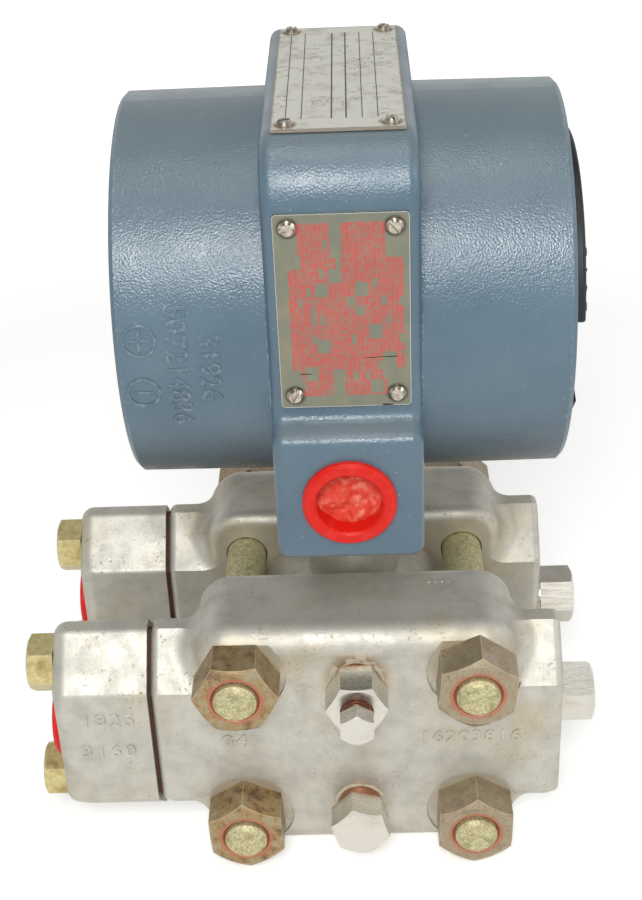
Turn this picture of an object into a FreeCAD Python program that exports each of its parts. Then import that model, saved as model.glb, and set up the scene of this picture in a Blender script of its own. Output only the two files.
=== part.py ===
import FreeCAD, Part
import math
import operator
import os
import Sketcher
from types import SimpleNamespace

# Differential pressure transmitter. Millimetres, +Z up, the process connectors on -X and the
# conduit plug and notice plate on -Y. The origin is at the middle of the footprint, on the
# surface that the process covers stand on.

lengths = {
    # process cell
    "cell_gap": 30.0,  # between the inner faces of the two covers
    "cover_thickness": 33.0,
    "cover_height": 84.0,
    "cover_width": 96.0,
    "cover_corner": 11.0,  # shoulders of the middle block
    "cover_front_round": 8.0,
    "cover_inner_round": 4.0,
    "lobe_span": 123.0,  # over both end lobes
    "lobe_height": 70.0,
    "lobe_chamfer": 14.0,
    "lobe_round": 2.5,
    "shoulder_blend": 7.5,  # where the lobes run into the block
    "chamber_radius": 27.0,
    "chamber_depth": 4.0,
    "gasket_inner_radius": 28.5,
    "gasket_outer_radius": 32.5,
    "gasket_depth": 2.4,
    "cross_drill_radius": 4.0,
    "link_drill_radius": 2.5,
    "spotface_radius": 14.5,
    "spotface_depth": 1.0,
    # studs and their nuts
    "stud_radius": 6.35,
    "stud_across": 70.4,  # between stud centres, sideways
    "stud_rise": 54.3,  # between stud centres, upwards
    "stud_hole_clearance": 0.4,
    "stud_stand_out": 2.0,
    "stud_chamfer": 1.2,
    "nut_flats": 22.2,
    "nut_height": 12.3,
    "nut_bore_chamfer": 1.1,
    "thread_clearance": 0.03,
    # plugs and valves in the covers
    "port_rise": 24.0,  # from the cell's centre to the vent, and down to the drain
    "port_radius": 6.7,
    "port_depth": 15.0,
    "plug_flats": 15.9,
    "plug_reach": 13.5,
    "plug_shank_length": 14.0,
    "vent_collar_radius": 7.3,
    "vent_collar_height": 2.0,
    "drain_neck_radius": 7.0,
    "drain_neck_height": 4.5,
    "vent_mouth_radius": 4.95,
    "vent_mouth_depth": 4.5,
    "vent_screw_radius": 3.95,
    "vent_bore_depth": 20.0,
    "vent_passage_radius": 1.5,
    "vent_screw_flats": 9.6,
    "vent_screw_head": 5.5,
    "vent_screw_reach": 22.0,
    "vent_tip_radius": 1.1,
    "vent_seat_gap": 0.6,
    "running_fit": 0.05,
    "side_plug_flats": 16.7,
    "side_plug_neck_radius": 7.4,
    "side_plug_neck_height": 0.8,
    "side_plug_reach": 12.0,
    "side_port_shift": 6.0,  # from the middle of the cover towards the gap
    # process connectors
    "connector_gasket_thickness": 1.1,
    "connector_gasket_inset": 1.6,
    "connector_gasket_bore": 9.0,
    "connector_length": 29.0,
    "connector_end_round": 4.5,
    "connector_port_radius": 10.3,
    "connector_port_depth": 19.0,
    "connector_bolt_rise": 42.8,  # between bolt centres
    "connector_bolt_radius": 5.55,
    "connector_bolt_flats": 15.9,
    "connector_bolt_head": 8.2,
    "connector_bolt_grip": 16.0,
    "connector_hole_clearance": 0.5,
    # sensor capsule
    "capsule_radius": 36.0,
    "capsule_rim_chamfer": 1.5,
    "diaphragm_radius": 26.0,
    "diaphragm_thickness": 0.35,
    "diaphragm_wave": 0.5,
    "diaphragm_recess": 1.6,
    "neck_radius": 14.2,
    "neck_collar_radius": 17.5,
    "neck_collar_height": 30.0,
    "neck_engagement": 9.0,
    "neck_bore_radius": 6.0,
    "neck_bore_depth": 40.0,
    "neck_seal_radius": 15.4,
    "neck_seal_section": 1.2,
    # topworks housing
    "barrel_height": 175.4,  # of its axis over the base
    "barrel_radius": 53.7,  # at the rims
    "barrel_draft": 0.4,  # fatter in the middle
    "barrel_half_length": 59.3,
    "barrel_edge": 1.2,
    "band_width": 39.3,
    "band_reach": 56.5,  # from the barrel's axis to the band's front and back
    "band_top": 59.2,
    "band_bottom": 54.4,
    "band_top_corner": 16.5,
    "band_edge_round": 3.0,
    "boss_reach": 64.0,
    "boss_top": 16.2,  # under the barrel's axis
    "boss_ledge": 2.2,
    "boss_corner": 4.0,
    "boss_ledge_round": 3.0,
    "conduit_drop": 35.0,
    "conduit_radius": 10.3,
    "wall_side": 11.0,  # near face of the partition, right of the middle
    "wall_thickness": 6.0,
    "compartment_radius": 42.5,
    "wire_hole_radius": 4.5,
    # end covers, screwed into the barrel
    "cover_flange_radius": 46.2,
    "cover_flange_thickness": 4.0,
    "cover_thread_radius": 44.4,
    "cover_thread_length": 12.0,
    "cover_skirt_inner": 39.0,
    "cover_disc_thickness": 5.5,
    "electronics_cover_recess": 3.0,
    "terminal_cover_recess": 7.0,
    "seal_groove_width": 3.0,
    "seal_section": 2.6,
    "wing_radius": 40.5,
    "wing_height": 6.9,
    "wing_channel": 31.0,
    "wing_round": 1.0,
    "wing_turn": 17.5,
    # plates
    "plate_width": 33.4,
    "plate_thickness": 0.8,
    "plate_corner": 1.0,
    "data_plate_length": 83.6,
    "data_plate_shift": -2.0,
    "notice_plate_height": 53.5,
    "notice_plate_rise": 16.75,  # of its centre over the barrel's axis
    "plate_screw_inset": 3.6,
    "plate_screw_radius": 1.2,
    "plate_screw_length": 5.0,
    "plate_screw_head_radius": 2.2,
    "plate_screw_head": 1.3,
    "plate_screw_slot": 0.7,
    "plate_screw_slot_depth": 0.6,
    # red thread protectors
    "protector_lip": 2.15,  # of the conduit plugs, beyond the port
    "port_plug_lip": 1.5,  # narrower, between the connector bolts
    "protector_flange_height": 2.2,
    "protector_length": 14.0,
    "protector_wall": 1.4,
    "protector_recess": 9.0,
    # terminal block and boards
    "block_width": 52.0,
    "block_height": 40.0,
    "block_thickness": 12.0,
    "block_corner": 4.0,
    "barrier_thickness": 1.6,
    "barrier_height": 5.0,
    "terminal_pitch": 12.0,
    "terminal_screw_radius": 2.0,
    "terminal_head_radius": 3.9,
    "terminal_head_height": 2.4,
    "terminal_screw_length": 8.0,
    "block_screw_spacing": 32.0,
    "board_radius": 37.0,
    "board_thickness": 1.6,
    "board_gap": 9.0,
    "standoff_radius": 3.0,
    "standoff_spread": 28.0,
    "board_screw_radius": 1.5,
    "board_screw_head_radius": 2.9,
    "board_screw_head": 1.8,
    "can_radius": 4.5,
    "can_height": 6.5,
    "can_spread": 13.0,
    "adjuster_rise": 17.0,
    "adjuster_spread": 9.0,
    "adjuster_body": 9.5,
    "adjuster_body_height": 4.8,
    "adjuster_screw_radius": 1.2,
    "adjuster_head_radius": 2.0,
    "adjuster_head_height": 1.6,
    "adjuster_slot": 0.6,
    "adjuster_slot_depth": 0.7,
}

doc = FreeCAD.newDocument("differential_pressure_transmitter")
sheet = doc.addObject("Spreadsheet::Sheet", "Sizes")
for row, (alias, number) in enumerate(lengths.items(), 1):
    sheet.set("A%d" % row, alias)
    sheet.set("B%d" % row, str(number))
    sheet.setAlias("B%d" % row, alias)
doc.recompute()

signs = {"+": operator.add, "-": operator.sub, "*": operator.mul, "/": operator.truediv}


class Size:
    # A number together with the spreadsheet expression that gives it.
    def __init__(self, value, text):
        self.value = value
        self.text = text

    def __add__(self, other):
        return joined(self, "+", other)

    def __radd__(self, other):
        return joined(other, "+", self)

    def __sub__(self, other):
        return joined(self, "-", other)

    def __rsub__(self, other):
        return joined(other, "-", self)

    def __mul__(self, other):
        return joined(self, "*", other)

    def __rmul__(self, other):
        return joined(other, "*", self)

    def __truediv__(self, other):
        return joined(self, "/", other)

    def __neg__(self):
        return joined(0.0, "-", self)


def as_size(item):
    return item if isinstance(item, Size) else Size(float(item), repr(float(item)))


def joined(left, sign, right):
    left, right = as_size(left), as_size(right)
    value = signs[sign](left.value, right.value)
    return Size(value, "(%s %s %s)" % (left.text, sign, right.text))


d = SimpleNamespace(**{name: Size(number, "Sizes." + name) for name, number in lengths.items()})

# Directions that a turned piece can face: its own +Z goes outwards, its +Y stays upright.
Vector = FreeCAD.Vector
upright = FreeCAD.Rotation()
to_front = FreeCAD.Rotation(Vector(1, 0, 0), Vector(0, 0, 1), Vector(0, -1, 0), "ZXY")
to_back = FreeCAD.Rotation(Vector(-1, 0, 0), Vector(0, 0, 1), Vector(0, 1, 0), "ZXY")
to_right = FreeCAD.Rotation(Vector(0, 1, 0), Vector(0, 0, 1), Vector(1, 0, 0), "ZXY")
to_left = FreeCAD.Rotation(Vector(0, -1, 0), Vector(0, 0, 1), Vector(-1, 0, 0), "ZXY")

sub_parts = []


def bind(target, name, item):
    target.setExpression(name, as_size(item).text)


def place(target, x, y, z, facing=upright, turn=0.0):
    # turn is about the piece's own axis, in degrees
    spin = FreeCAD.Rotation(Vector(0, 0, 1), turn)
    target.Placement = FreeCAD.Placement(Vector(0, 0, 0), facing.multiply(spin))
    bind(target, "Placement.Base.x", x)
    bind(target, "Placement.Base.y", y)
    bind(target, "Placement.Base.z", z)


def new_body(name, kept=True):
    body = doc.addObject("PartDesign::Body", name)
    body.Label = name
    if kept:
        sub_parts.append(body)
    return body


def new_sketch(body, role, offset=0.0):
    plane = next(item for item in body.Origin.OriginFeatures if item.Role == role)
    sketch = body.newObject("Sketcher::SketchObject", body.Name + "_sketch")
    sketch.AttachmentSupport = [(plane, "")]
    sketch.MapMode = "FlatFace"
    bind(sketch, "AttachmentOffset.Base.z", offset)
    return sketch


def pin(sketch, curve, point, x, y):
    # fixes one point of a curve by its distances from the sketch's origin
    for kind, item in (("DistanceX", as_size(x)), ("DistanceY", as_size(y))):
        place_of = sketch.addConstraint(
            Sketcher.Constraint(kind, -1, 1, curve, point, item.value)
        )
        if "Sizes." in item.text:
            bind(sketch, "Constraints[%d]" % place_of, item)


def outline(sketch, corners):
    flat = [Vector(as_size(x).value, as_size(y).value, 0) for x, y in corners]
    count = len(corners)
    first = sketch.GeometryCount
    for index in range(count):
        sketch.addGeometry(Part.LineSegment(flat[index], flat[(index + 1) % count]))
    for index in range(count):
        following = first + (index + 1) % count
        sketch.addConstraint(Sketcher.Constraint("Coincident", first + index, 2, following, 1))
    for index, (x, y) in enumerate(corners):
        pin(sketch, first + index, 1, x, y)


def circle(sketch, x, y, radius):
    centre = Vector(as_size(x).value, as_size(y).value, 0)
    radius = as_size(radius)
    curve = sketch.addGeometry(Part.Circle(centre, Vector(0, 0, 1), radius.value))
    place_of = sketch.addConstraint(Sketcher.Constraint("Radius", curve, radius.value))
    bind(sketch, "Constraints[%d]" % place_of, radius)
    pin(sketch, curve, 3, x, y)


def box_outline(sketch, low_x, low_y, high_x, high_y):
    outline(sketch, [(low_x, low_y), (high_x, low_y), (high_x, high_y), (low_x, high_y)])


def hexagon(sketch, flats):
    corners = []
    for corner in range(6):
        angle = math.radians(60 * corner)
        across = round(math.sin(angle) / math.sqrt(3), 9)
        up = round(math.cos(angle) / math.sqrt(3), 9)
        corners.append((flats * across if across else 0.0, flats * up))
    outline(sketch, corners)


def pad(body, sketch, length, symmetric=False, backwards=False):
    feature = body.newObject("PartDesign::Pad", body.Name + "_pad")
    feature.Profile = sketch
    bind(feature, "Length", length)
    feature.Midplane = symmetric
    feature.Reversed = backwards
    return feature


def pocket(body, sketch, depth=None, backwards=False):
    # no depth means right through, both ways
    feature = body.newObject("PartDesign::Pocket", body.Name + "_pocket")
    feature.Profile = sketch
    feature.Reversed = backwards
    if depth is None:
        feature.Type = "ThroughAll"
        feature.Midplane = True
    else:
        bind(feature, "Length", depth)
    return feature


def spun(body, kind, sketch, axis="V_Axis"):
    feature = body.newObject("PartDesign::" + kind, body.Name + "_" + kind.lower())
    feature.Profile = sketch
    feature.ReferenceAxis = (sketch, [axis])
    feature.Angle = 360.0
    return feature


def turned(body, corners):
    # a profile of (radius, height) pairs, spun about the body's own Z axis
    sketch = new_sketch(body, "XZ_Plane")
    outline(sketch, corners)
    return spun(body, "Revolution", sketch)


def cut_round(body, corners):
    sketch = new_sketch(body, "XZ_Plane")
    outline(sketch, corners)
    return spun(body, "Groove", sketch)


def hex_head(body, flats, low, high):
    # hexagonal prism with the usual 30 degree crown on its outer face
    sketch = new_sketch(body, "XY_Plane", low)
    hexagon(sketch, flats)
    pad(body, sketch, high - low)
    edge = flats * 0.475
    clear = flats * 0.65
    drop = (clear - edge) * math.tan(math.radians(30))
    return cut_round(body, [(edge, high), (clear, high), (clear, high - drop)])


def edge_names(feature, wanted):
    doc.recompute()
    edges = enumerate(feature.Shape.Edges, 1)
    return ["Edge%d" % number for number, edge in edges if wanted(edge)]


def dress(body, kind, base, names, amount):
    feature = body.newObject("PartDesign::" + kind, body.Name + "_" + kind.lower())
    feature.Base = (base, names)
    bind(feature, "Radius" if kind == "Fillet" else "Size", amount)
    return feature


tiny = 0.01  # lengths closer than this are the same


def near(value, target):
    return abs(value - as_size(target).value) < tiny


def copies(name, master, places):
    # one node of identical pieces; each place is (x, y, z, facing, turn)
    links = []
    for number, (x, y, z, facing, turn) in enumerate(places, 1):
        link = doc.addObject("App::Link", "%s_%d" % (name, number))
        link.LinkedObject = master
        place(link, x, y, z, facing, turn)
        links.append(link)
    node = doc.addObject("Part::Compound", name)
    node.Links = links
    node.Label = name
    place(node, axis_x, 0.0, 0.0)
    sub_parts.append(node)


def mirrored(name, source):
    # the rear twin of a front piece
    node = doc.addObject("Part::Mirroring", name)
    node.Source = source
    node.Normal = Vector(0, 1, 0)
    node.Label = name
    sub_parts.append(node)
    return node


# Where things are, from the sizes above.
cell_centre = d.cover_height / 2
cover_middle = d.cell_gap / 2 + d.cover_thickness / 2
cover_front = d.cell_gap / 2 + d.cover_thickness
lobe_end = d.lobe_span / 2
side_port = cover_middle - d.side_port_shift
nut_seat = cover_front - d.spotface_depth
bolt_rise = d.connector_bolt_rise / 2
connector_right = lobe_end + d.connector_gasket_thickness
connector_left = connector_right + d.connector_length
left_reach = connector_left + d.connector_bolt_head
right_reach = lobe_end + d.side_plug_reach
axis_x = (left_reach - right_reach) / 2
wall_far = d.wall_side + d.wall_thickness
stud_places = [
    (across * d.stud_across / 2, cell_centre + up * d.stud_rise / 2)
    for across in (-1, 1)
    for up in (-1, 1)
]


def lobe_profile(sketch, middle, inset=0.0):
    # long hexagon of the end lobes and the connectors, on the YZ plane
    half = d.cover_thickness / 2 - inset
    top = d.lobe_height / 2 - inset
    slope = d.lobe_chamfer
    ridge = half - slope
    shoulder = top - slope
    outline(
        sketch,
        [
            (middle - half, -shoulder),
            (middle - half, shoulder),
            (middle - ridge, top),
            (middle + ridge, top),
            (middle + half, shoulder),
            (middle + half, -shoulder),
            (middle + ridge, -top),
            (middle - ridge, -top),
        ],
    )


def meets_block(edge):
    # the hollow corners where the slopes and ridge of a lobe run into the middle block
    point = edge.valueAt((edge.FirstParameter + edge.LastParameter) / 2)
    across = abs(point.y + cover_middle.value)
    rise = abs(point.z)
    half = d.cover_thickness / 2
    top = d.lobe_height / 2
    on_slope = near(across + rise, half + top - d.lobe_chamfer) and across < half.value - tiny
    on_ridge = near(rise, top) and across < (half - d.lobe_chamfer).value - tiny
    inside = abs(point.x) < lobe_end.value - tiny
    return inside and edge.BoundBox.YLength > tiny and (on_slope or on_ridge)


def process_cover():
    body = new_body("front_process_cover")
    place(body, axis_x, 0.0, cell_centre)
    middle = new_sketch(body, "XZ_Plane", d.cell_gap / 2)
    half_width = d.cover_width / 2
    half_height = d.cover_height / 2
    box_outline(middle, -half_width, -half_height, half_width, half_height)
    block = pad(body, middle, d.cover_thickness)
    corners = edge_names(block, lambda edge: edge.Length > 1 and edge.BoundBox.YLength > 1)
    block = dress(body, "Fillet", block, corners, d.cover_corner)
    rim = edge_names(block, lambda edge: near(edge.BoundBox.YMax, -cover_front))
    block = dress(body, "Fillet", block, rim, d.cover_front_round)
    rim = edge_names(block, lambda edge: near(edge.BoundBox.YMin, -d.cell_gap / 2))
    dress(body, "Fillet", block, rim, d.cover_inner_round)

    lobes = new_sketch(body, "YZ_Plane")
    lobe_profile(lobes, -cover_middle)
    block = pad(body, lobes, d.lobe_span, symmetric=True)
    shoulders = edge_names(block, meets_block)
    block = dress(body, "Fillet", block, shoulders, d.shoulder_blend)
    ends = edge_names(
        block,
        lambda edge: near(edge.BoundBox.XMin, lobe_end) or near(edge.BoundBox.XMax, -lobe_end),
    )
    dress(body, "Fillet", block, ends, d.lobe_round)

    studs = new_sketch(body, "XZ_Plane")
    for x, z in stud_places:
        circle(studs, x, z - cell_centre, d.stud_radius + d.stud_hole_clearance)
    pocket(body, studs)
    seats = new_sketch(body, "XZ_Plane", cover_front)
    for x, z in stud_places:
        circle(seats, x, z - cell_centre, d.spotface_radius)
    pocket(body, seats, d.spotface_depth)

    chamber = new_sketch(body, "XZ_Plane", d.cell_gap / 2)
    circle(chamber, 0.0, 0.0, d.chamber_radius)
    pocket(body, chamber, d.chamber_depth, backwards=True)
    groove = new_sketch(body, "XZ_Plane", d.cell_gap / 2)
    circle(groove, 0.0, 0.0, d.gasket_inner_radius)
    circle(groove, 0.0, 0.0, d.gasket_outer_radius)
    pocket(body, groove, d.gasket_depth, backwards=True)

    ports = new_sketch(body, "XZ_Plane", cover_front)
    passages = new_sketch(body, "XZ_Plane", cover_front)
    for rise in (d.port_rise, -d.port_rise):
        circle(ports, 0.0, rise, d.port_radius)
        circle(passages, 0.0, rise, d.link_drill_radius)
    pocket(body, ports, d.port_depth)
    pocket(body, passages, d.cover_thickness)
    link = new_sketch(body, "XZ_Plane", d.cell_gap / 2)
    circle(link, 0.0, 0.0, d.link_drill_radius)
    pocket(body, link, d.cover_thickness / 2, backwards=True)

    cross = new_sketch(body, "YZ_Plane")
    circle(cross, -cover_middle, 0.0, d.cross_drill_radius)
    pocket(body, cross)
    side = new_sketch(body, "YZ_Plane", lobe_end)
    circle(side, -side_port, 0.0, d.port_radius)
    pocket(body, side, d.port_depth)
    taps = new_sketch(body, "YZ_Plane", -lobe_end)
    for rise in (bolt_rise, -bolt_rise):
        circle(taps, -cover_middle, rise, d.connector_bolt_radius + d.thread_clearance)
    pocket(body, taps, d.connector_bolt_grip + 2.0, backwards=True)
    mirrored("rear_process_cover", body)


def cover_gasket():
    body = new_body("front_cover_gasket")
    place(body, axis_x, -d.cell_gap / 2, cell_centre, to_front)
    turned(
        body,
        [
            (d.gasket_inner_radius, 0.0),
            (d.gasket_outer_radius, 0.0),
            (d.gasket_outer_radius, d.gasket_depth),
            (d.gasket_inner_radius, d.gasket_depth),
        ],
    )
    mirrored("rear_cover_gasket", body)


def capsule():
    # round cell body with the neck that carries the housing
    body = new_body("sensor_capsule")
    place(body, axis_x, 0.0, cell_centre)
    profile = new_sketch(body, "YZ_Plane")
    half = d.cell_gap / 2
    edge = d.capsule_radius - d.capsule_rim_chamfer
    face = half - d.capsule_rim_chamfer
    floor = half - d.diaphragm_recess
    outline(
        profile,
        [
            (-floor, 0.0),
            (-floor, d.diaphragm_radius),
            (-half, d.diaphragm_radius),
            (-half, edge),
            (-face, d.capsule_radius),
            (face, d.capsule_radius),
            (half, edge),
            (half, d.diaphragm_radius),
            (floor, d.diaphragm_radius),
            (floor, 0.0),
        ],
    )
    spun(body, "Revolution", profile, "H_Axis")
    neck_foot = d.diaphragm_radius + d.capsule_rim_chamfer
    neck = new_sketch(body, "XY_Plane", neck_foot)
    circle(neck, 0.0, 0.0, d.neck_radius)
    pad(body, neck, neck_top - cell_centre - neck_foot)
    collar = new_sketch(body, "XY_Plane", housing_base - cell_centre)
    circle(collar, 0.0, 0.0, d.neck_collar_radius)
    pad(body, collar, d.neck_collar_height, backwards=True)
    bore = new_sketch(body, "XY_Plane", neck_top - cell_centre)
    circle(bore, 0.0, 0.0, d.neck_bore_radius)
    pocket(body, bore, d.neck_bore_depth)
    groove_low = housing_base - cell_centre - d.neck_seal_section
    cut_round(
        body,
        [
            (d.neck_radius, groove_low),
            (d.neck_seal_radius + d.neck_seal_section / 2, groove_low),
            (d.neck_seal_radius + d.neck_seal_section / 2, housing_base - cell_centre),
            (d.neck_radius, housing_base - cell_centre),
        ],
    )

    seal = new_body("neck_seal")
    place(seal, axis_x, 0.0, housing_base - d.neck_seal_section)
    turned(
        seal,
        [
            (d.neck_radius, 0.0),
            (d.neck_seal_radius + d.neck_seal_section / 2, 0.0),
            (d.neck_seal_radius + d.neck_seal_section / 2, d.neck_seal_section),
            (d.neck_radius, d.neck_seal_section),
        ],
    )


def diaphragm():
    # thin disc pressed into rings of straight-sided waves
    body = new_body("front_diaphragm")
    place(body, axis_x, -d.cell_gap / 2 + d.diaphragm_recess, cell_centre, to_front)
    waves = 2
    lower, upper = [], []
    for step in range(2 * waves + 1):
        radius = d.diaphragm_radius * (1 - step / (2 * waves + 1))
        rise = d.diaphragm_wave if step % 2 else 0.0
        lower.append((radius, rise))
        upper.append((radius, rise + d.diaphragm_thickness))
    profile = [(0.0, 0.0)] + lower[::-1] + upper + [(0.0, d.diaphragm_thickness)]
    turned(body, profile)
    mirrored("rear_diaphragm", body)


def studs():
    stud = new_body("stud", kept=False)
    half = nut_seat + d.nut_height + d.stud_stand_out
    tip = d.stud_radius - d.stud_chamfer
    turned(
        stud,
        [
            (0.0, -half),
            (tip, -half),
            (d.stud_radius, -half + d.stud_chamfer),
            (d.stud_radius, half - d.stud_chamfer),
            (tip, half),
            (0.0, half),
        ],
    )
    copies("cover_studs", stud, [(x, 0.0, z, to_front, 0.0) for x, z in stud_places])

    nut = new_body("nut", kept=False)
    hex_head(nut, d.nut_flats, as_size(0.0), d.nut_height)
    bore = d.stud_radius + d.thread_clearance
    cut_round(
        nut,
        [
            (0.0, 0.0),
            (bore, 0.0),
            (bore, d.nut_height - d.nut_bore_chamfer),
            (bore + d.nut_bore_chamfer, d.nut_height),
            (0.0, d.nut_height),
        ],
    )
    front_turns = (3.0, 30.0, -2.0, -5.0)
    rear_turns = (12.0, 0.0, 26.0, 8.0)
    for name, side, facing, turns in (
        ("front_nuts", -1, to_front, front_turns),
        ("rear_nuts", 1, to_back, rear_turns),
    ):
        spots = [
            (x, side * nut_seat, z, facing, turn) for (x, z), turn in zip(stud_places, turns)
        ]
        copies(name, nut, spots)


def plug_shank(body, sides):
    # sides is the profile above the port's face, from the outside of the neck to the axis
    shank = d.port_radius - d.thread_clearance
    low = -d.plug_shank_length
    turned(body, [(0.0, low), (shank - 1.0, low), (shank, low + 1.0), (shank, 0.0)] + sides)


def vents():
    for name, side, facing in (("front", -1, to_front), ("rear", 1, to_back)):
        y = side * cover_front
        z = cell_centre + d.port_rise
        plug = new_body(name + "_vent_plug")
        place(plug, axis_x, y, z, facing, 30.0)
        collar = d.vent_collar_radius
        top = d.vent_collar_height
        plug_shank(plug, [(collar, 0.0), (collar, top), (0.0, top)])
        hex_head(plug, d.plug_flats, top, d.plug_reach)
        bore = d.vent_screw_radius + d.running_fit
        seat = d.plug_reach - d.vent_bore_depth
        cone = bore - d.vent_passage_radius
        cut_round(
            plug,
            [
                (0.0, d.plug_reach),
                (d.vent_mouth_radius, d.plug_reach),
                (d.vent_mouth_radius, d.plug_reach - d.vent_mouth_depth),
                (bore, d.plug_reach - d.vent_mouth_depth),
                (bore, seat),
                (d.vent_passage_radius, seat - cone),
                (d.vent_passage_radius, -d.plug_shank_length),
                (0.0, -d.plug_shank_length),
            ],
        )

        screw = new_body(name + "_vent_screw")
        place(screw, axis_x, y, z, facing, 0.0)
        low = seat + d.vent_seat_gap
        neck = d.vent_screw_reach - d.vent_screw_head
        tip = d.vent_screw_radius - d.vent_tip_radius
        turned(
            screw,
            [
                (0.0, low - tip),
                (d.vent_tip_radius, low - tip),
                (d.vent_screw_radius, low),
                (d.vent_screw_radius, neck),
                (0.0, neck),
            ],
        )
        hex_head(screw, d.vent_screw_flats, neck, d.vent_screw_reach)


def drains():
    for name, side, facing, turn in (("front", -1, to_front, 15.0), ("rear", 1, to_back, -8.0)):
        body = new_body(name + "_drain_plug")
        place(body, axis_x, side * cover_front, cell_centre - d.port_rise, facing, turn)
        neck = d.drain_neck_radius
        top = d.drain_neck_height
        plug_shank(body, [(neck, 0.0), (neck, top), (0.0, top)])
        hex_head(body, d.plug_flats, top, d.plug_reach)


def side_plugs():
    for name, side, turn in (("front", -1, 0.0), ("rear", 1, 30.0)):
        body = new_body(name + "_side_plug")
        place(body, axis_x + lobe_end, side * side_port, cell_centre, to_right, turn)
        neck = d.side_plug_neck_radius
        top = d.side_plug_neck_height
        plug_shank(body, [(neck, 0.0), (neck, top), (0.0, top)])
        hex_head(body, d.side_plug_flats, top, d.side_plug_reach)


def connectors():
    for name, side in (("front", -1), ("rear", 1)):
        middle = side * cover_middle
        body = new_body(name + "_process_connector")
        place(body, axis_x - connector_right, middle, cell_centre)
        outside = new_sketch(body, "YZ_Plane")
        lobe_profile(outside, 0.0)
        block = pad(body, outside, d.connector_length, backwards=True)
        left = -d.connector_length
        ends = edge_names(block, lambda edge: near(edge.BoundBox.XMax, left))
        block = dress(body, "Fillet", block, ends, d.connector_end_round)
        ridges = edge_names(
            block,
            lambda edge: edge.BoundBox.XLength > 5
            and edge.BoundBox.YLength < 0.01
            and edge.BoundBox.ZLength < 0.01,
        )
        dress(body, "Fillet", block, ridges, d.lobe_round)
        port = new_sketch(body, "YZ_Plane", left)
        circle(port, 0.0, 0.0, d.connector_port_radius)
        pocket(body, port, d.connector_port_depth, backwards=True)
        through = new_sketch(body, "YZ_Plane")
        circle(through, 0.0, 0.0, d.cross_drill_radius)
        for rise in (bolt_rise, -bolt_rise):
            circle(through, 0.0, rise, d.connector_bolt_radius + d.connector_hole_clearance)
        pocket(body, through)

        gasket = new_body(name + "_connector_gasket")
        place(gasket, axis_x - connector_right, middle, cell_centre)
        plate = new_sketch(gasket, "YZ_Plane")
        lobe_profile(plate, 0.0, d.connector_gasket_inset)
        circle(plate, 0.0, 0.0, d.connector_gasket_bore)
        for rise in (bolt_rise, -bolt_rise):
            circle(plate, 0.0, rise, d.connector_bolt_radius + d.connector_hole_clearance)
        pad(gasket, plate, d.connector_gasket_thickness)

    bolt = new_body("bolt", kept=False)
    grip = d.connector_length + d.connector_gasket_thickness + d.connector_bolt_grip
    shank = d.connector_bolt_radius
    turned(
        bolt,
        [
            (0.0, -grip),
            (shank - 1.0, -grip),
            (shank, 1.0 - grip),
            (shank, 0.0),
            (0.0, 0.0),
        ],
    )
    hex_head(bolt, d.connector_bolt_flats, as_size(0.0), d.connector_bolt_head)
    for name, side, turns in (("front", -1, (8.0, 21.0)), ("rear", 1, (0.0, 14.0))):
        spots = [
            (-connector_left, side * cover_middle, cell_centre + rise, to_left, turn)
            for rise, turn in zip((-bolt_rise, bolt_rise), turns)
        ]
        copies(name + "_connector_bolts", bolt, spots)


def protector(name, x, y, z, facing, bore, lip):
    # moulded cup that is pushed into a threaded port
    body = new_body(name)
    place(body, x, y, z, facing)
    outer = bore - d.running_fit
    flange = bore + lip
    inner = outer - d.protector_wall
    low = -d.protector_length
    top = d.protector_flange_height
    turned(
        body,
        [
            (0.0, low),
            (outer - 1.0, low),
            (outer, 0.0),
            (flange, 0.0),
            (flange, top * 0.6),
            (flange - 0.8, top),
            (inner + 0.6, top),
            (inner, top - 0.6),
            (inner - 0.4, top - d.protector_recess),
            (0.0, top - d.protector_recess),
        ],
    )


def protectors():
    boss = d.barrel_height - d.conduit_drop
    for name, side, facing in (("front", -1, to_front), ("rear", 1, to_back)):
        y = side * d.boss_reach
        lip = d.protector_lip
        protector(name + "_conduit_plug", axis_x, y, boss, facing, d.conduit_radius, lip)
    for name, side in (("front_port_plug", -1), ("rear_port_plug", 1)):
        middle = side * cover_middle
        left = axis_x - connector_left
        port = d.connector_port_radius
        protector(name, left, middle, cell_centre, to_left, port, d.port_plug_lip)


# The housing stands on the neck's collar, and the neck goes up into it.
housing_base = d.barrel_height - d.band_bottom
neck_top = housing_base + d.neck_engagement
plate_half = d.plate_width / 2 - d.plate_screw_inset
data_screws = [
    (across * plate_half, d.data_plate_shift + along * (d.data_plate_length / 2 - d.plate_screw_inset))
    for across in (-1, 1)
    for along in (-1, 1)
]
notice_screws = [
    (across * plate_half, d.notice_plate_rise + up * (d.notice_plate_height / 2 - d.plate_screw_inset))
    for across in (-1, 1)
    for up in (-1, 1)
]


def cover_bore(sketch, side, recess, floor):
    # stepped bore of one end: flange seat, thread and compartment, with +X sizes times side
    rim = d.barrel_half_length
    flange = rim - recess - d.cover_flange_thickness - d.seal_groove_width
    thread = flange - d.cover_thread_length
    seat = d.cover_flange_radius + d.running_fit
    screw = d.cover_thread_radius + d.running_fit
    outline(
        sketch,
        [
            (side * rim, 0.0),
            (side * rim, seat),
            (side * flange, seat),
            (side * flange, screw),
            (side * (thread - 1.0), screw),
            (side * (thread - 1.0), d.compartment_radius),
            (floor, d.compartment_radius),
            (floor, 0.0),
        ],
    )


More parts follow.
